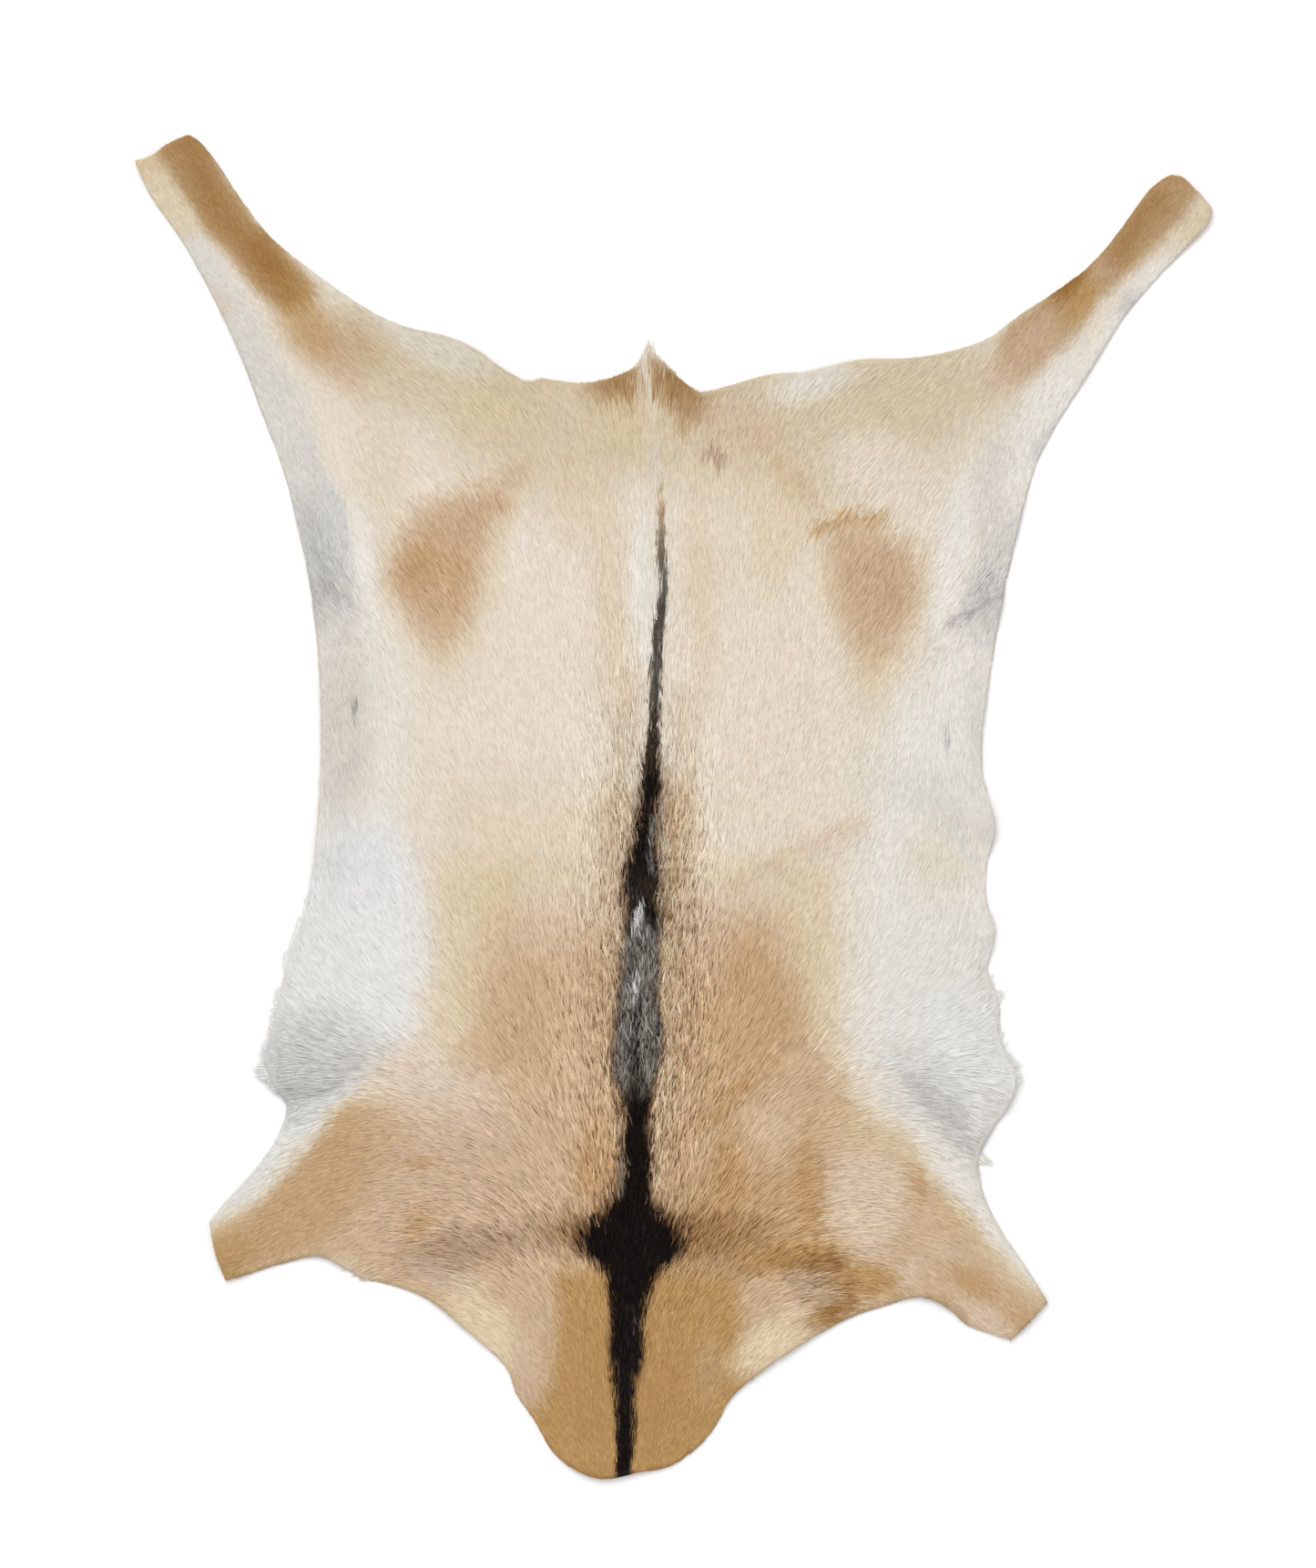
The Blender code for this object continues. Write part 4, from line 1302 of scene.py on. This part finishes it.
@dataclass
class Leather:
    """The tanned skin: a thin sheet that lies on the solid's underside, with its folds."""

    painter: CoatPainter
    thickness: float = 1.6 * MM
    same_point: float = 0.001 * MM

    # How the rim is drawn in: how far, after which points are merged, and evened out how many times.
    rim_drawn_in: float = 1.2 * MM
    rim_merged: float = 2.2 * MM
    least_way: float = 1e-9
    rim_evened: int = 6
    rim_spread: int = 60

    # How the surface is cut up, and how its folds are eased and turned faces laid right.
    least_edge: float = 0.9 * MM
    unfold_times: int = 20
    down_facing: float = -0.5
    lattice: float = 6.5 * MM
    snap: float = 0.4 * MM
    ease: float = 0.5
    ease_times: int = 4

    # The colours: fluff against hair, darker by painted shade under the hair, and the width, wander and
    # patches of the dry rim, in millimetres.
    fluff_shade: float = 0.86
    dry_rim: float = 14.0
    dry_wander: float = 4.0
    dry_cell: float = 9.0

    # What build finds out.
    flat_area: float = field(init=False, default=0.0)
    rim: list[tuple[Place, Place]] = field(init=False, default_factory=list)

    def build(self, materials: Sequence[bpy.types.Material]) -> bpy.types.Object:
        """Makes the sheet.

        Args:
            materials: the flesh side's material and the hair side's.

        Returns:
            The finished sheet.
        """
        skin = self.underside()
        self.merge_rim(skin)
        self.cut_lattice(skin)
        self.draw_in_rim(skin)
        self.unfold(skin)
        self.flat_area = sum(face.area for face in skin.data.polygons)
        self.rim = self.rim_edges(skin)
        skin.data.materials.clear()
        for material in materials:
            skin.data.materials.append(material)
        self.thicken(skin)
        skin.data.shade_smooth()
        self.colour(skin)
        return skin

    def underside(self) -> bpy.types.Object:
        """Copies the solid and keeps only the faces it lies on.

        Returns:
            The open surface, as a new object.
        """
        skin = bpy.data.objects.new("leather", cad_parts[NODE].data.copy())
        bpy.context.scene.collection.objects.link(skin)
        choose(skin)
        bpy.ops.object.mode_set(mode="EDIT")
        bpy.ops.mesh.select_mode(type="FACE")
        bpy.ops.mesh.select_all(action="SELECT")
        bpy.ops.mesh.remove_doubles(threshold=self.same_point)
        bpy.ops.mesh.select_all(action="DESELECT")
        bpy.ops.object.mode_set(mode="OBJECT")
        for face in skin.data.polygons:
            face.select = face.normal.z > self.down_facing
        bpy.ops.object.mode_set(mode="EDIT")
        bpy.ops.mesh.delete(type="FACE")
        bpy.ops.object.mode_set(mode="OBJECT")
        return skin

    def cut_lattice(self, skin: bpy.types.Object) -> None:
        """Cuts the surface finely and evenly both ways, then eases its folds so that they are round.

        Args:
            skin: the open surface, which changes.
        """
        reach = CAD_BOX[1]
        with opened(skin.data) as bm:
            for axis in (0, 1):
                normal = Vector((0, 0, 0))
                normal[axis] = 1
                count = math.floor(reach[axis] / self.lattice)
                for line in range(-count, count + 1):
                    bmesh.ops.bisect_plane(
                        bm, geom=bm.verts[:] + bm.edges[:] + bm.faces[:], dist=self.snap,
                        plane_co=normal * line * self.lattice, plane_no=normal,
                    )
            bmesh.ops.triangulate(bm, faces=bm.faces[:])
            bmesh.ops.remove_doubles(bm, verts=bm.verts[:], dist=self.least_edge)
            bmesh.ops.dissolve_degenerate(bm, edges=bm.edges[:], dist=self.least_edge)
            bmesh.ops.triangulate(bm, faces=bm.faces[:])
            for _ in range(self.ease_times):
                bmesh.ops.smooth_vert(bm, verts=bm.verts[:], factor=self.ease, use_axis_z=True)

    @staticmethod
    def open_edges(skin: bpy.types.Object) -> list[tuple[int, int]]:
        """The edges with one face, each in its face's order.

        Args:
            skin: the open surface.

        Returns:
            Pairs of vertex numbers.
        """
        found: dict[tuple[int, int], list[tuple[int, int]]] = {}
        for face in skin.data.polygons:
            ring = list(face.vertices)
            for first, second in zip(ring, ring[1:] + ring[:1]):
                key = (min(first, second), max(first, second))
                found.setdefault(key, []).append((first, second))
        return [edges[0] for edges in found.values() if len(edges) == 1]

    def merge_rim(self, skin: bpy.types.Object) -> None:
        """Merges the rim's closest points, so that drawing it in folds nothing over.

        Args:
            skin: the open surface, which changes.
        """
        with opened(skin.data) as bm:
            rim = [vert for vert in bm.verts if vert.is_boundary]
            bmesh.ops.remove_doubles(bm, verts=rim, dist=self.rim_merged)

    def draw_in_rim(self, skin: bpy.types.Object) -> None:
        """Moves the rim in a little, and the skin near it less and less, so that the hair makes the outline.

        Args:
            skin: the open surface, which changes.
        """
        verts = skin.data.vertices
        rim = np.array(self.open_edges(skin))
        place = np.array([vert.co[:] for vert in verts])
        along = place[rim[:, 1]] - place[rim[:, 0]]
        sideways = np.column_stack([along[:, 1], -along[:, 0]])
        inward = np.zeros((len(verts), 2))
        for end in (0, 1):
            np.add.at(inward, rim[:, end], sideways)
        inward = self.evened(inward, rim, self.rim_evened, np.zeros(len(verts), bool))
        inward /= np.maximum(np.linalg.norm(inward, axis=1, keepdims=True), self.least_way)
        amount = self.rim_drawn_in + MM * growth_sum(RIM, place[:, 0] / MM, place[:, 1] / MM)
        fixed = np.zeros(len(verts), bool)
        fixed[rim] = True
        edges = np.array([edge.vertices[:] for edge in skin.data.edges])
        shift = self.evened(inward * amount[:, None], edges, self.rim_spread, fixed)
        place[:, :2] += shift
        verts.foreach_set("co", place.astype(np.float32).ravel())
        skin.data.update()

    def unfold(self, skin: bpy.types.Object) -> None:
        """Evens out the points round any face that the drawn-in rim turned over.

        Args:
            skin: the open surface, which changes.
        """
        with opened(skin.data) as bm:
            for _ in range(self.unfold_times):
                bm.normal_update()
                turned = [vert for vert in bm.verts if any(face.normal.z > 0 for face in vert.link_faces)]
                if not turned:
                    break
                bmesh.ops.smooth_vert(bm, verts=turned, factor=self.ease, use_axis_x=True, use_axis_y=True)

    @staticmethod
    def evened(values: np.ndarray, edges: np.ndarray, times: int, fixed: np.ndarray) -> np.ndarray:
        """Evens values out between neighbours.

        Args:
            values: one row for each point.
            edges: pairs of neighbours.
            times: how many times each point takes its neighbours' mean.
            fixed: the points that keep their values.

        Returns:
            The new values.
        """
        counts = np.bincount(edges.ravel(), minlength=len(values))
        moves = (counts > 0) & ~fixed
        for _ in range(times):
            total = np.zeros_like(values)
            np.add.at(total, edges[:, 0], values[edges[:, 1]])
            np.add.at(total, edges[:, 1], values[edges[:, 0]])
            values = np.where(moves[:, None], total / np.maximum(counts, 1)[:, None], values)
        return values

    def rim_edges(self, skin: bpy.types.Object) -> list[tuple[Place, Place]]:
        """The rim as flat edges in metres.

        Args:
            skin: the open surface.

        Returns:
            Pairs of places.
        """
        verts = skin.data.vertices
        return [
            (tuple(verts[first].co.xy), tuple(verts[second].co.xy))
            for first, second in self.open_edges(skin)
        ]

    def thicken(self, skin: bpy.types.Object) -> None:
        """Gives the open surface its thickness, upwards, with the hair side's material on top.

        Args:
            skin: the open surface, which changes.
        """
        choose(skin)
        solid = skin.modifiers.new("thickness", "SOLIDIFY")
        solid.thickness = self.thickness
        solid.offset = -1.0
        solid.material_offset = 1
        bpy.ops.object.modifier_apply(modifier=solid.name)

    def colour(self, skin: bpy.types.Object) -> None:
        """Colours the upper side like the coat on it, darker by painted shade under the hair, and the flesh
        side as dry skin.

        Args:
            skin: the sheet, which gets a colour layer.
        """
        mesh = skin.data
        co = np.empty(len(mesh.vertices) * 3, np.float32)
        mesh.vertices.foreach_get("co", co)
        normals = np.empty(len(mesh.vertices) * 3, np.float32)
        mesh.vertices.foreach_get("normal", normals)
        x, y = co[0::3] / MM, co[1::3] / MM
        # The fluff under the hair is painted in shade.
        hair = linear(self.painter.paint(x, y)) * self.fluff_shade
        depth = depth_inside(x * MM, y * MM, self.rim) / MM
        reach = self.dry_rim + self.dry_wander * SoftNoise(self.dry_cell, Seed.DRY_RIM).at(x, y)
        flesh = np.tile(Tone.FLESH.rgb(), (len(x), 1))
        self.painter.lay(flesh, Tone.DRY_FLESH.rgb(), smooth((reach - depth) / self.dry_rim))
        upper = normals[2::3] > 0
        add_colours(mesh, np.where(upper[:, None], hair, linear(flesh)))


class LockLayer(NamedTuple):
    """One layer of the coat: its locks' sizes in millimetres, its tone in steps of 255, and how near the
    rim its roots stay, if they do.
    """

    name: str
    spacing: float
    length: float
    width: float
    rise: float
    tone: float
    rim_only: float = 0.0


# The lower layers' darker tones are painted shade deep in the coat, and the top layer's lighter tone is
# painted light.
LAYERS: tuple[LockLayer, ...] = (
    LockLayer("undercoat", 2.98, 9.5, 2.8, 0.7, -2.5),
    LockLayer("lower_hair", 2.98, 10.5, 2.2, 1.1, -1),
    LockLayer("middle_hair", 2.98, 11.0, 1.8, 1.5, 0),
    LockLayer("top_hair", 2.98, 11.5, 1.5, 1.9, 1.5),
    LockLayer("rim_hair", 1.0, 8.5, 1.5, 1.0, 0, 6.0),
)


@dataclass
class Coat:
    """The goat's hair: layers of short locks, each a closed sliver rooted in the leather."""

    surface: HideSurface
    painter: CoatPainter
    comb: Comb
    layers: tuple[LockLayer, ...] = LAYERS

    # How the locks are rooted, how long and how wide they are, in millimetres and in shares.
    root_depth: float = 0.25
    root_inset: float = 0.4
    length_spread: float = 0.16
    least_length: float = 2.5
    width_spread: float = 0.18
    width_range: tuple[float, float] = (0.6, 1.3)
    flatness: float = 0.108
    least_relief: float = 0.15
    ruffle_relief: float = 0.09

    # How much the locks' headings differ, in degrees, and where on its own length a lock takes its colour.
    heading_spread: float = 3.2
    least_spread: float = 1.0
    ruffle_turn: float = 0.2
    roll_spread: float = 10.0
    spread_across: float = 0.8
    spread_along: float = 3.5
    seen_share: float = 0.62

    # How far the locks pass the rim, in millimetres, and the shares of it that single locks reach.
    overhang: float = 0.8
    tuft_cell: float = 5.0
    tuft_share: float = 0.25
    reach_range: tuple[float, float] = (0.1, 1.3)
    least_run: float = 0.1
    least_cut: float = 0.1

    # How high the tips stand: shares of the layer's rise, drops past the rim, and the lowest height.
    rise_spread: float = 0.25
    calm_lift: float = 0.42
    ruffle_lift: float = 0.023
    least_lift: float = 0.34
    pressing: float = 0.85
    droop: float = 0.5
    least_height: float = 0.2

    # How much the locks differ in tone: in steps of 255 on a light coat, and less on a dark one. Some of it
    # is painted: shade at the roots, and light at the tips and on all but the dark locks.
    calm_contrast: float = 1.1
    tone_spread: float = 0.6
    other_locks_light: float = 0.72
    root_shade: float = -1.6
    tip_light: float = 0.5
    full_contrast: float = 0.36
    least_contrast: float = 0.18
    full_layer_shade: float = 4.0
    least_layer_shade: float = 0.4

    # The narrow dark locks: painted shadow in the gaps between the others.
    shadow_gap_share: float = 0.26
    shadow_gap_more: float = 0.006
    shadow_gap_tone: float = -2.6
    shadow_gap_width: float = 0.55
    shadow_gap_length: float = 0.7

    # How a colour as it looks becomes the hair's own. Light is lost and deepened between the locks, which
    # asks for a lighter and flatter colour, less so in a calm coat. The gloss adds some, which is taken off.
    gain: float = 1.05
    calm_loss: float = 0.16
    bounce: float = 0.87
    gloss_lift: float = 0.012
    light_range: tuple[float, float] = (0.003, 0.97)

    # The map: cells across and along it, one for each lock, and the margin in a cell.
    map_columns: int = 256
    map_rows: int = 200
    map_margin: float = 0.06

    # A lock's points: left, right and top of its root, and its tip. Its faces are the two that show,
    # its underside and its root end, each with its own strip of the map.
    POINTS = 4
    FACES = ((0, 2, 3), (2, 1, 3), (1, 0, 3), (0, 1, 2))
    MAP = (
        ((0.0, 0.0), (0.4, 0.0), (0.4, 1.0)), ((0.4, 0.0), (0.8, 0.0), (0.4, 1.0)),
        ((0.86, 0.0), (1.0, 0.0), (0.93, 1.0)), ((0.6, 1.0), (0.8, 1.0), (0.7, 0.7)),
    )

    def build(self, material: bpy.types.Material) -> list[bpy.types.Object]:
        """Makes every layer.

        Args:
            material: the hair's material.

        Returns:
            One object for each layer.
        """
        pieces = []
        for number, layer in enumerate(self.layers):
            draws = np.random.default_rng(SEED + number)
            root_x, root_y = self.roots(layer, draws)
            points, colours = self.locks(layer, root_x, root_y, draws)
            pieces.append(self.mesh(layer.name, points, colours, material))
            LOG.info("%s: %d locks", layer.name, len(root_x))
        return pieces

    def roots(self, layer: LockLayer, draws: np.random.Generator) -> tuple[np.ndarray, np.ndarray]:
        """Sets a layer's roots, evenly with some scatter, in rows from the neck to the tail.

        Args:
            layer: the layer.
            draws: its random numbers.

        Returns:
            The places across and along, in millimetres, ordered for the map.
        """
        low, high = (np.array(corner[:2]) / MM for corner in CAD_BOX)
        columns, rows = (np.arange(low[axis], high[axis], layer.spacing) for axis in (0, 1))
        x, y = (axis.ravel() for axis in np.meshgrid(columns, rows, indexing="ij"))
        x = x + draws.uniform(-0.5, 0.5, len(x)) * layer.spacing
        y = y + draws.uniform(-0.5, 0.5, len(y)) * layer.spacing
        depth = self.surface.depth(x * MM, y * MM) / MM
        kept = depth > self.root_inset
        if layer.rim_only:
            kept &= depth < layer.rim_only
        x, y = x[kept], y[kept]
        order = np.argsort(y)
        band = np.empty(len(x), int)
        band[order] = np.arange(len(x)) // self.map_columns
        order = np.lexsort((x, band))
        return x[order], y[order]

    def locks(
        self, layer: LockLayer, x: np.ndarray, y: np.ndarray, draws: np.random.Generator
    ) -> tuple[np.ndarray, np.ndarray]:
        """Shapes and colours a layer's locks.

        Args:
            layer: the layer.
            x: the roots' places across, in millimetres.
            y: the roots' places along.
            draws: random numbers.

        Returns:
            Four points and four linear colours for each lock.
        """
        count = len(x)
        ruffle = growth_sum(RUFFLE, x, y)
        shadow_gap = draws.uniform(size=count) < self.shadow_gap_share + self.shadow_gap_more * ruffle
        spread = np.maximum(self.heading_spread + self.ruffle_turn * ruffle, self.least_spread)
        heading = self.comb.heading(x, y) + np.radians(spread) * draws.standard_normal(count)
        way = np.stack([np.cos(heading), np.sin(heading)], axis=1)
        root = np.stack([x, y], axis=1)
        length = self.lengths(layer, root, way, shadow_gap, draws)
        tip = root + way * length[:, None]
        slack = length / layer.length
        rise = layer.rise * slack * self.rises(tip, ruffle, draws) - self.droop * self.past_rim(tip)
        width = layer.width * self.widths(root, slack, shadow_gap, draws)
        points = self.slivers(heading, self.point(tip, rise), root, width, ruffle, draws)
        along = length * self.seen_share + self.spread_along * draws.standard_normal(count)
        across = self.spread_across * draws.standard_normal(count)
        seen = root + way * along[:, None] + (way[:, ::-1] * (1, -1)) * across[:, None]
        return points * MM, self.lock_colours(layer, seen, shadow_gap, draws)

    def lengths(
        self, layer: LockLayer, root: np.ndarray, way: np.ndarray, shadow_gap: np.ndarray,
        draws: np.random.Generator,
    ) -> np.ndarray:
        """Cuts the locks to length.

        Args:
            layer: the layer.
            root: the roots' places, in millimetres.
            way: the way each lock lies.
            shadow_gap: which locks are the dark ones.
            draws: random numbers.

        Returns:
            The lengths, none past the rim by too much.
        """
        length = layer.length + growth_sum(LENGTHS, root[:, 0], root[:, 1])
        length = length * (1 + self.length_spread * draws.standard_normal(len(root)))
        length = np.where(shadow_gap, length * self.shadow_gap_length, length)
        return self.trimmed(root, way, np.maximum(length, self.least_length), draws)

    def rises(self, tip: np.ndarray, ruffle: np.ndarray, draws: np.random.Generator) -> np.ndarray:
        """How far the tips stand up, as shares of the layer's rise: less in a calm coat and in creases.

        Args:
            tip: the tips' places, in millimetres.
            ruffle: how ruffled the coat is at each root.
            draws: random numbers.

        Returns:
            The shares.
        """
        spread = np.abs(1 + self.rise_spread * draws.standard_normal(len(tip)))
        pressed = self.pressing * self.painter.pressed(tip[:, 0], tip[:, 1])
        return spread * self.lift(ruffle) * (1 - pressed)

    def widths(
        self, root: np.ndarray, slack: np.ndarray, shadow_gap: np.ndarray, draws: np.random.Generator
    ) -> np.ndarray:
        """How wide the locks are, as shares of the layer's width: the shorter, the narrower.

        Args:
            root: the roots' places, in millimetres.
            slack: each length as a share of the layer's.
            shadow_gap: which locks are the dark ones.
            draws: random numbers.

        Returns:
            The shares.
        """
        width = np.clip(slack, *self.width_range) * (1 - growth_sum(FINE, root[:, 0], root[:, 1]))
        width *= 1 + self.width_spread * draws.standard_normal(len(root))
        return np.where(shadow_gap, width * self.shadow_gap_width, width)

    def slivers(
        self, heading: np.ndarray, tip: np.ndarray, root: np.ndarray, width: np.ndarray,
        ruffle: np.ndarray, draws: np.random.Generator,
    ) -> np.ndarray:
        """Shapes the locks, each rolled a little about its own length.

        Args:
            heading: the way each lock lies, as an angle.
            tip: the tips, with their heights, in millimetres.
            root: the roots' places.
            width: the locks' widths.
            ruffle: how ruffled the coat is at each root.
            draws: random numbers.

        Returns:
            Four points for each lock, in millimetres.
        """
        roll = np.radians(self.roll_spread * draws.standard_normal(len(root)))[:, None]
        side = np.stack([np.sin(heading), -np.cos(heading), np.zeros(len(root))], axis=1)
        up = np.array((0.0, 0.0, 1.0))
        half = (side * np.cos(roll) + up * np.sin(roll)) * width[:, None] / 2
        relief = np.maximum(1 + self.ruffle_relief * ruffle, self.least_relief)
        ridge = (up * np.cos(roll) - side * np.sin(roll)) * (width * self.flatness * relief)[:, None]
        base = self.point(root, np.full(len(root), -self.root_depth))
        points = np.stack([base - half, base + half, base + ridge, tip], axis=1)
        points[:, :, 2] = np.maximum(points[:, :, 2], self.least_height)
        return points

    def lift(self, ruffle: np.ndarray) -> np.ndarray:
        """How far the tips stand up, as a share of the full rise: more, the more ruffled the coat is."""
        return np.clip(self.calm_lift + self.ruffle_lift * ruffle, self.least_lift, 1)

    def point(self, place: np.ndarray, rise: np.ndarray) -> np.ndarray:
        """Points that stand so far above the leather.

        Args:
            place: places in millimetres.
            rise: heights above the leather.

        Returns:
            Points in millimetres.
        """
        height = self.surface.height(place[:, 0] * MM, place[:, 1] * MM) / MM
        return np.column_stack([place, height + rise])

    def depth(self, place: np.ndarray) -> np.ndarray:
        """How deep places are inside the rim, all in millimetres."""
        return self.surface.depth(place[:, 0] * MM, place[:, 1] * MM) / MM

    def past_rim(self, place: np.ndarray) -> np.ndarray:
        """How far places are past the rim, all in millimetres."""
        return np.maximum(0, -self.depth(place))

    def trimmed(
        self, root: np.ndarray, way: np.ndarray, length: np.ndarray, draws: np.random.Generator
    ) -> np.ndarray:
        """Shortens the locks that would pass the rim by too much.

        Args:
            root: the roots' places, in millimetres.
            way: the way each lock lies.
            length: the locks' lengths.
            draws: random numbers.

        Returns:
            The new lengths.
        """
        x, y = root[:, 0], root[:, 1]
        tufted = np.clip(SoftNoise(self.tuft_cell, Seed.TUFTS).at(x, y) + self.tuft_share, 0, 1)
        allowed = self.overhang + growth_sum(TUFTS, x, y) * tufted
        allowed = allowed * draws.uniform(*self.reach_range, len(x))
        root_depth, tip_depth = self.depth(root), self.depth(root + way * length[:, None])
        share = (root_depth + allowed) / np.maximum(root_depth - tip_depth, self.least_run)
        cut = np.maximum(length * np.clip(share, self.least_cut, 1), self.least_length)
        return np.where(-tip_depth > allowed, cut, length)

    def lock_colours(
        self, layer: LockLayer, seen: np.ndarray, shadow_gap: np.ndarray, draws: np.random.Generator
    ) -> np.ndarray:
        """Colours the locks: each its own tone of the coat's colour, with painted shade at the root, in the
        dark locks between the others and in the lower layers, and painted light at the tip.

        Args:
            layer: the layer.
            seen: the place on each lock that shows.
            shadow_gap: which locks are the dark ones, painted shadow in the gaps between the others.
            draws: random numbers.

        Returns:
            Four linear colours for each lock.
        """
        rgb = self.painter.paint(seen[:, 0], seen[:, 1], draws.standard_normal(len(seen)))
        lit = np.clip(rgb.mean(axis=1) / self.full_contrast, self.least_contrast, 1)
        ruffle = growth_sum(RUFFLE, seen[:, 0], seen[:, 1])
        contrast = lit * np.maximum(self.calm_contrast + ruffle, 0)
        own = self.tone_spread * draws.standard_normal(len(rgb))
        tone = contrast * (own + np.where(shadow_gap, self.shadow_gap_tone, self.other_locks_light))
        # Painted shade at the root and painted light at the tip, along each lock.
        root = contrast * self.root_shade
        along = np.stack([root, root, root, contrast * self.tip_light], axis=1)
        # Painted shade in the lower layers and painted light on the top one.
        depth = layer.tone * np.clip(contrast / self.full_layer_shade, self.least_layer_shade, 1)
        steps = along + (tone + depth)[:, None]
        light = linear(rgb[:, None, :] + steps[:, :, None] / 255)
        gain = self.gain - self.calm_loss * (1 - self.lift(ruffle))
        own_light = gain[:, None, None] * light ** self.bounce - self.gloss_lift
        return np.clip(own_light, *self.light_range)

    def mesh(
        self, name: str, points: np.ndarray, colours: np.ndarray, material: bpy.types.Material
    ) -> bpy.types.Object:
        """Joins locks in one mesh.

        Args:
            name: the piece's name.
            points: four points for each lock, in metres.
            colours: four linear colours for each lock.
            material: the hair's material.

        Returns:
            The piece.
        """
        count = len(points)
        faces = np.array(self.FACES)
        corners = (faces.ravel()[None, :] + self.POINTS * np.arange(count)[:, None]).ravel()
        mesh = bpy.data.meshes.new(name)
        mesh.vertices.add(count * self.POINTS)
        mesh.vertices.foreach_set("co", points.astype(np.float32).ravel())
        mesh.loops.add(len(corners))
        mesh.loops.foreach_set("vertex_index", corners.astype(np.int32))
        mesh.polygons.add(len(corners) // 3)
        mesh.polygons.foreach_set("loop_start", np.arange(0, len(corners), 3, dtype=np.int32))
        mesh.polygons.foreach_set("material_index", np.zeros(len(corners) // 3, np.int32))
        mesh.update(calc_edges=True)
        mesh.shade_flat()
        add_colours(mesh, colours.reshape(-1, 3))
        self.map_locks(mesh, count)
        mesh.materials.append(material)
        piece = bpy.data.objects.new(name, mesh)
        bpy.context.scene.collection.objects.link(piece)
        return piece

    def map_locks(self, mesh: bpy.types.Mesh, count: int) -> None:
        """Gives every lock its own small cell of the map, root at the bottom and tip at the top.

        Args:
            mesh: the joined locks.
            count: how many there are.
        """
        cell = self.map_margin + np.array(self.MAP).reshape(-1, 2) * (1 - 2 * self.map_margin)
        number = np.arange(count)
        corner = np.stack([number % self.map_columns, number // self.map_columns], axis=1)
        places = (corner[:, None, :] + cell[None]) / (self.map_columns, self.map_rows)
        layer = mesh.uv_layers.new(name=MAP_LAYER)
        layer.uv.foreach_set("vector", places.astype(np.float32).ravel())


@dataclass(frozen=True)
class Studio:
    """A plain pale floor, soft light, and the camera straight above at the photo's own framing."""

    photo_width: int = 1445
    photo_height: int = 1722
    pixel: float = 0.676 * MM
    middle_pixel: Place = (739.0, 886.0)
    camera_height: float = 3.0
    sensor: float = 36.0
    floor_size: float = 12.0
    floor_drop: float = 0.2 * MM
    key_place: tuple[float, float, float] = (-1.1, 3.4, 4.4)
    key_size: float = 3.4
    key_power: float = 150.0
    sky: float = 0.82

    def floor(self, material: bpy.types.Material) -> bpy.types.Object:
        """Lays the floor.

        Args:
            material: its material.

        Returns:
            The floor.
        """
        deselect()
        bpy.ops.mesh.primitive_plane_add(size=self.floor_size, location=(0, 0, -self.floor_drop))
        floor = bpy.context.object
        floor.name = "floor"
        floor.data.materials.append(material)
        return floor

    def lights(self) -> None:
        """Hangs one large soft lamp on the tail's side and fills in from all round."""
        deselect()
        bpy.ops.object.light_add(type="AREA", location=self.key_place)
        key = bpy.context.object
        key.name = "soft lamp"
        key.data.size = self.key_size
        key.data.energy = self.key_power
        key.rotation_euler = (-Vector(self.key_place)).to_track_quat("-Z", "Y").to_euler()
        world = bpy.data.worlds.new("even white")
        world.use_nodes = True
        background = world.node_tree.nodes["Background"]
        background.inputs["Color"].default_value = (1, 1, 1, 1)
        background.inputs["Strength"].default_value = self.sky
        bpy.context.scene.world = world

    def camera(self) -> None:
        """Hangs the camera over the picture's middle, so that its height fills the frame."""
        deselect()
        across = (self.photo_width / 2 - self.middle_pixel[0]) * self.pixel
        along = (self.middle_pixel[1] - self.photo_height / 2) * self.pixel
        bpy.ops.object.camera_add(location=(across, along, self.camera_height), rotation=(0, 0, 0))
        camera = bpy.context.object
        camera.data.sensor_fit = "VERTICAL"
        camera.data.sensor_height = self.sensor
        camera.data.sensor_width = self.sensor
        camera.data.lens = self.sensor * self.camera_height / (self.photo_height * self.pixel)
        bpy.context.scene.camera = camera

    def colours(self) -> None:
        """Shows colours as they are, with no film look."""
        bpy.context.scene.view_settings.view_transform = "Standard"
        bpy.context.scene.view_settings.look = "None"


def main() -> None:
    """Makes the studio, the leather and its coat, attaches them to the body and hides the solid."""
    logging.basicConfig(level=logging.INFO, format="%(name)s: %(message)s")
    studio = Studio()
    studio.camera()
    studio.lights()
    studio.colours()
    studio.floor(FloorFinish().material())

    mottle = grain_group(Grain.MOTTLE)
    strands = grain_group(Grain.STRANDS)
    skin_finish = SkinFinish()
    painter = CoatPainter()
    leather = Leather(painter)
    sheet = leather.build(
        (skin_finish.material("flesh side", mottle), skin_finish.material("fluff", mottle))
    )
    LOG.info("leather: %.3f square metres, %d faces", leather.flat_area, len(sheet.data.polygons))
    surface = HideSurface(sheet, leather.rim)
    coat = Coat(surface, painter, Comb()).build(HairFinish().material(mottle, strands))
    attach(sheet, BODY)
    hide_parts(NODE)
    for piece in coat:
        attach(piece, BODY)
    LOG.info("%d pieces", len(coat) + 1)


if __name__ == "__main__":
    main()
